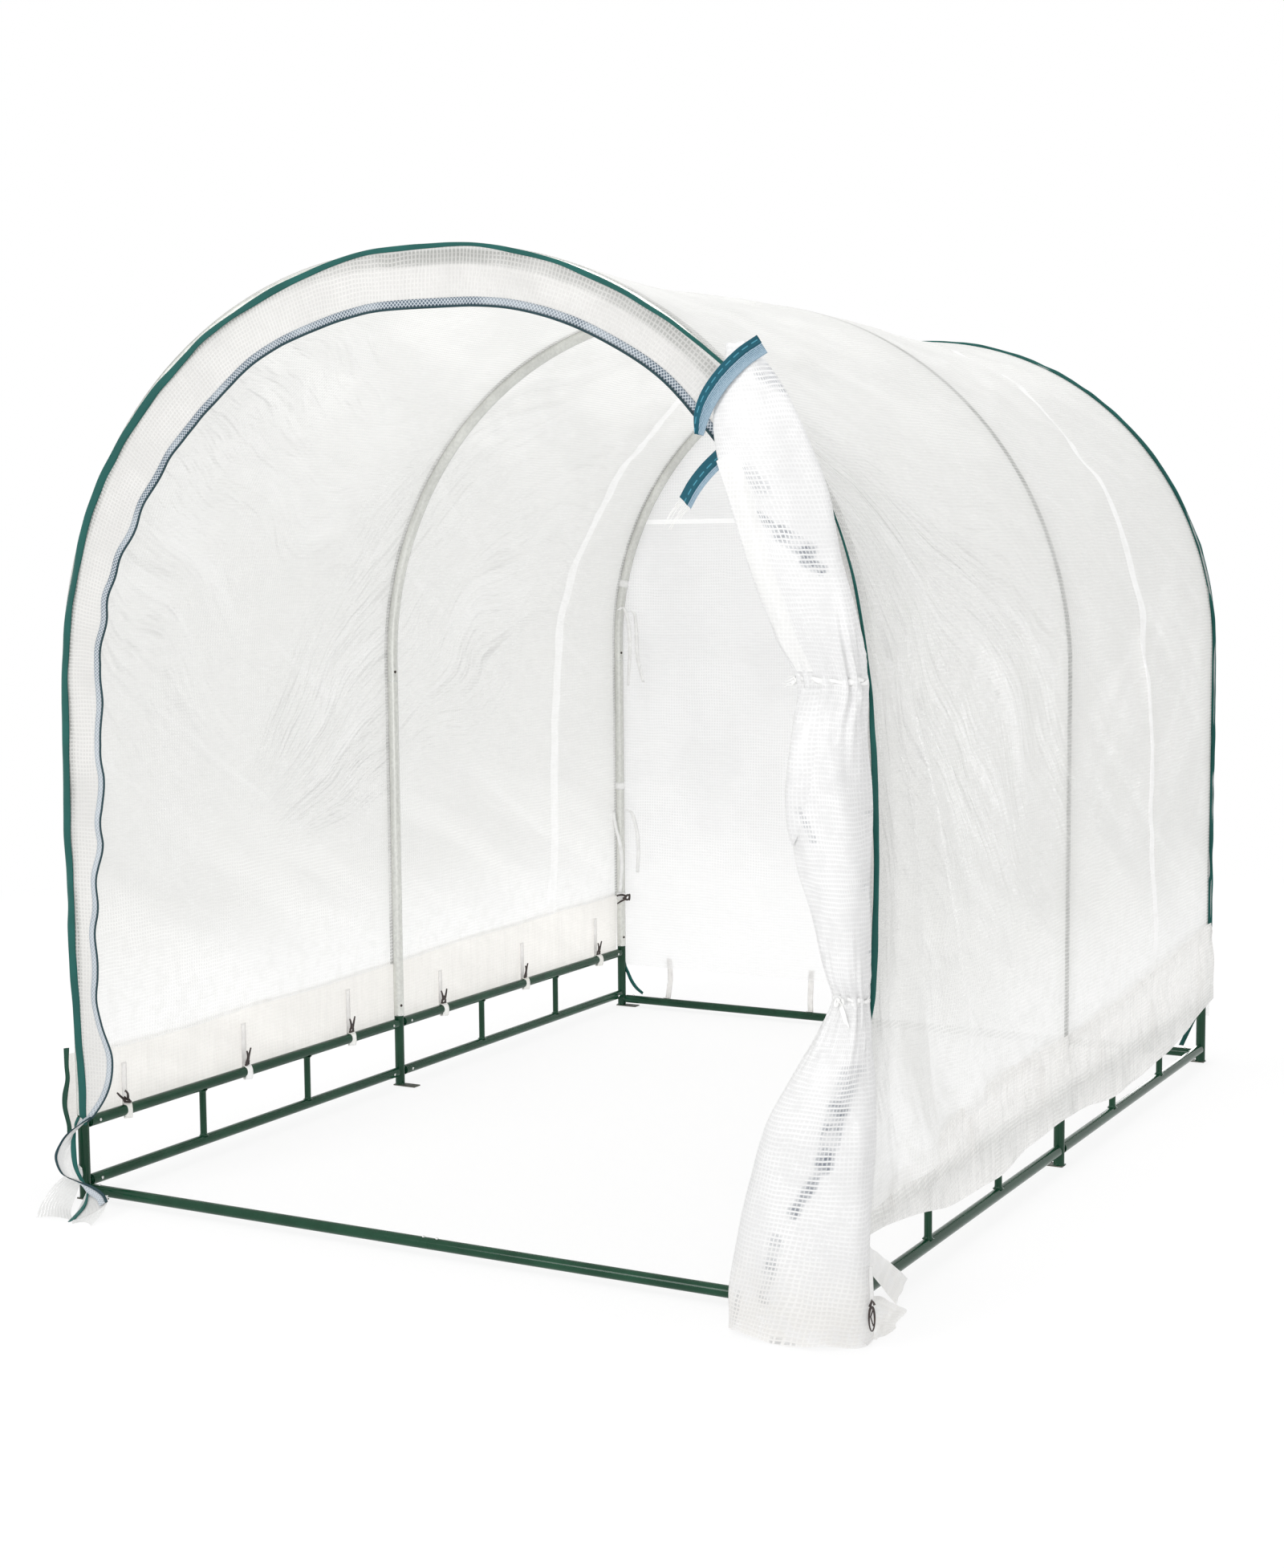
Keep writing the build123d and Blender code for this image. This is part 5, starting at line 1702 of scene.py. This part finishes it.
def snap_hooks():
    """A hook on each rail strap, the first of which lies over, and one on the rear left leg."""
    build = Build()
    top = TOP_RAIL_Z + POST_R + 0.0032
    for _, side in SIDES:
        for i, y in enumerate(strap_spots()):
            foot = (side * HALF_W, y, top)
            if side < 0 and i == 0:
                one_hook(build, foot, unit(0.1, -0.62, 0.78), (1, 0, 0), 0.3)
                continue
            lean = unit(side * -0.12, 0.08 * math.sin(i * 1.7), 1.0)
            one_hook(build, foot, lean, (0, 1, 0), 0.25 * math.sin(i * 2.1 + side))
    leg = (-HALF_W + 0.040, REAR_Y - 0.019, LEG_HOOK_Z)
    one_hook(build, leg, (-0.97, -0.08, -0.22), (0, 0, 1), 0.1, 1.15)
    place(build.make("spring_hooks", HOOK), "black_plastic", ("snap_hooks",))


def hem_hook():
    """The hook and strap on the tied-up door's hem."""
    x, y = 1.0115, FRONT_Y - 0.120
    build = Build()
    t = np.linspace(0, 2 * np.pi, 22)
    loop = stack(x + 0.0055 * np.sin(t), y, 0.058 + 0.022 * np.cos(t))
    head = [(x - 0.004, y, 0.080), (x + 0.001, y, 0.093), (x + 0.005, y, 0.084)]
    gate = [(x + 0.003, y, 0.078), (x - 0.002, y - 0.001, 0.062), (x + 0.003, y, 0.046)]
    add_tube(build, loop, 0.0018 + 0.0006 * np.cos(t), 8, up=(0, 1, 0))
    add_tube(build, head, 0.0026, 8, up=(0, 1, 0))
    add_tube(build, gate, 0.0013, 6, up=(0, 1, 0))
    place(build.make("hem_hook", HOOK), "black_plastic")
    tape_piece(
        "hem_hook_strap",
        [(x - 0.010, y + 0.008, 0.150), (x - 0.007, y + 0.004, 0.120), (x - 0.004, y, 0.091)],
        [(x - 0.002, y + 0.008, 0.151), (x + 0.001, y + 0.004, 0.120), (x + 0.004, y, 0.091)],
        TAIL_FILM, (0.0102, 0.062), "door_flap_film", slot="white_webbing", thick=0.0014,
        rows=20, bow=0.001,
    )


def rear_straps():
    """Straps from the rear hem round the rear ground bar."""
    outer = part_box("rear_straps")[1].x - 0.009
    build = Build()
    for side in (-1, 1):
        for x, lean in ((side * outer, 0.004), (side * (outer - 0.485), -0.005)):
            centre = (x, REAR_Y, END_BAR_Z)
            radius = POST_R + 0.0012
            band_round(build, centre, (1, 0, 0), (0, 1, 0), radius, STRAP_W, arc=(-1.7, 2.4))
            z = np.linspace(END_BAR_Z + 0.004, 0.156, 16)
            rise = (z - z[0]) / (z[-1] - z[0])
            y = REAR_Y + POST_R + 0.002 + 0.010 * ease(rise * 1.6)
            add_strap(build, stack(x + lean * np.sin(rise * 3), y, z), (1, 0, 0), STRAP_W)
    piece = thicken(build.make("rear_hem_straps", TAB_TAPE), 0.0014)
    place(piece, "white_webbing", ("rear_straps",))


def leg_spot(side, y, z):
    """A loop's place on a leg: its centre, the tube's direction and the way outwards."""
    return (side * HALF_W, y, z), (0, 0, 1), (side, 0, 0)


def bend_spot(side, y, degrees):
    """The same on a bend, some degrees up from its foot."""
    turn = math.radians(degrees)
    nx, nz = math.cos(turn), math.sin(turn)
    centre = (side * (CROWN_HALF + BEND_R * nx), y, SPRING_Z + BEND_R * nz)
    return centre, (-side * nz, 0, nx), (side * nx, 0, nz)


def arch_loops():
    """Film loops that hold the end bands to their arches, open where they meet the film."""
    build = Build()
    spread = 4.3
    radius = TUBE_R + 0.0008
    for y, out, heights, turns in (
        (FRONT_Y, -1, (0.290, 0.831), (19.5, 68.5)),
        (REAR_Y, 1, (0.689,), (12.4, 68.5)),
    ):
        for _, side in SIDES:
            spots = [leg_spot(side, y, z) for z in heights]
            spots += [bend_spot(side, y, degrees) for degrees in turns]
            if out > 0 and side < 0:
                spots.append(leg_spot(side, y, LEG_HOOK_Z))
            for centre, axis, outward in spots:
                faces_film = np.cross(outward, axis)[1] * out > 0
                start = 0.5 * np.pi + 0.2 if faces_film else -0.5 * np.pi - 0.2 - spread
                band_round(build, centre, axis, outward, radius, 0.022, arc=(start, spread))
    piece = thicken(build.make("arch_film_loops", SOFT_TAPE), 0.0008)
    place(piece, "end_film", ("arch_loops",))


# The rear door's own tapes, which hang unused at the left leg, as (x, z) down each.
TIE_TAPES = (
    ((-0.899, 1.232), (-0.880, 1.240), (-0.862, 1.190), (-0.857, 1.100), (-0.863, 1.002)),
    ((-0.868, 1.228), (-0.846, 1.222), (-0.838, 1.160), (-0.834, 1.090), (-0.814, 1.013)),
    ((-0.925, 0.612), (-0.914, 0.562), (-0.899, 0.512), (-0.892, 0.446), (-0.897, 0.361)),
    ((-0.880, 0.616), (-0.860, 0.606), (-0.843, 0.554), (-0.837, 0.491), (-0.839, 0.425)),
)


def tie_tapes():
    """Each tape is a narrow strip that turns a little as it hangs."""
    for number, line in enumerate(TIE_TAPES):
        away = 0.020 if number % 2 == 0 else 0.013
        path = np.array([(x, REAR_Y - away - 0.002 * i, z) for i, (x, z) in enumerate(line)])
        turn = np.array([0.4, -0.3, 0.4, 0.1, -0.5]) + number * 0.15
        side = stack(np.cos(turn), np.sin(turn), 0) * 0.0055
        length = round(arc_lengths(path)[-1] * 1.05, 3)
        tape_piece(
            f"rear_tie_tape_{number + 1}", path - side, path + side, SOFT_TAPE, (0.011, length),
            "rear_arch_legs", thick=0.0012, rows=40, bow=0.0008,
            replaces=("tie_tapes",) if number == 0 else (),
        )


rail_straps()
skirt_tabs()
snap_hooks()
hem_hook()
rear_straps()
arch_loops()
tie_tapes()


# ---- Floor, light and camera ---------------------------------------------------------------------
def floor_material():
    """White ground that takes soft shadows near the object and glows white far from it."""
    tree = Tree("floor")
    path = tree.node("ShaderNodeLightPath")
    seen = tree.math("MAXIMUM", path.outputs["Is Camera Ray"], path.outputs["Is Glossy Ray"])
    seen = tree.math("MAXIMUM", seen, path.outputs["Is Transmission Ray"])
    lit = tree.node("ShaderNodeBsdfDiffuse", {"Color": linear(248, 248, 248)}).outputs[0]
    white = tree.node("ShaderNodeEmission", {"Color": WHITE, "Strength": 1.0}).outputs[0]
    far = tree.span(tree.vector("LENGTH", tree.position()), 2.2, 5.0)
    glow = tree.math("MULTIPLY_ADD", seen, -0.1, 0.92)
    glow = tree.math("MAXIMUM", glow, tree.math("MULTIPLY", seen, far))
    return tree.done(tree.mix(glow, lit, white))


def studio():
    """The ground, a white world and the lamps."""
    build = Build()
    edges = (-30.0, 30.0)
    corners = np.array([[(x, y, 0.0) for x in edges] for y in edges])
    floor = build.grid(corners, corners[..., :2], flip=True).make("floor", floor_material())

    tree = Tree("studio", bpy.data.worlds, "ShaderNodeOutputWorld")
    path = tree.node("ShaderNodeLightPath")
    seen = tree.math("MAXIMUM", path.outputs["Is Camera Ray"], path.outputs["Is Glossy Ray"])
    soft, white = (
        tree.node("ShaderNodeBackground", {"Color": WHITE, "Strength": strength}).outputs[0]
        for strength in (0.73, 1.0)
    )
    bpy.context.scene.world = tree.done(tree.mix(seen, soft, white))

    # Each lamp's place, what it points at, its diameter and its power in watts.
    for name, spot, aim, size, power in (
        ("key", (-2.0, -6.5, 3.2), (0, 0, 1.0), 3.0, 140),
        ("left", (-6.5, 1.1, 0.7), (0, 0, 0.3), 3.0, 105),
        ("rear", (0.0, 7.0, 0.7), (0, 0, 0.3), 3.0, 110),
        ("top", (0.6, 0.0, 8.0), (0, 0, 1.0), 4.0, 225),
        ("rake", (3.6, -6.0, 2.0), (0.9, 0, 0.9), 1.5, 74),
    ):
        lamp = bpy.data.lights.new(name, "AREA")
        lamp.shape = "DISK"
        lamp.size = size
        lamp.energy = power
        holder = bpy.data.objects.new(name, lamp)
        holder.location = spot
        holder.rotation_euler = (Vector(aim) - Vector(spot)).to_track_quat("-Z", "Y").to_euler()
        bpy.context.scene.collection.objects.link(holder)


def camera():
    """The view of the rest pose; its angles are in radians."""
    place = Vector((2.5525, FRONT_Y - 3.786, 1.4015))
    yaw, pitch, roll = 0.498, -0.099, -0.008
    ahead = Vector(
        (-math.sin(yaw) * math.cos(pitch), math.cos(yaw) * math.cos(pitch), math.sin(pitch))
    )
    right = Vector((math.cos(yaw), math.sin(yaw), 0))
    up = right.cross(ahead)
    right, up = (
        right * math.cos(roll) + up * math.sin(roll),
        up * math.cos(roll) - right * math.sin(roll),
    )
    data = bpy.data.cameras.new("camera")
    data.sensor_fit = "AUTO"
    data.sensor_width = 36
    data.lens = 53.05
    data.clip_end = 200
    holder = bpy.data.objects.new("camera", data)
    rotation = Matrix((right, up, -ahead)).transposed().to_4x4()
    holder.matrix_world = Matrix.Translation(place) @ rotation
    bpy.context.scene.collection.objects.link(holder)
    bpy.context.scene.camera = holder


studio()
camera()
bpy.context.scene.view_settings.view_transform = "Standard"
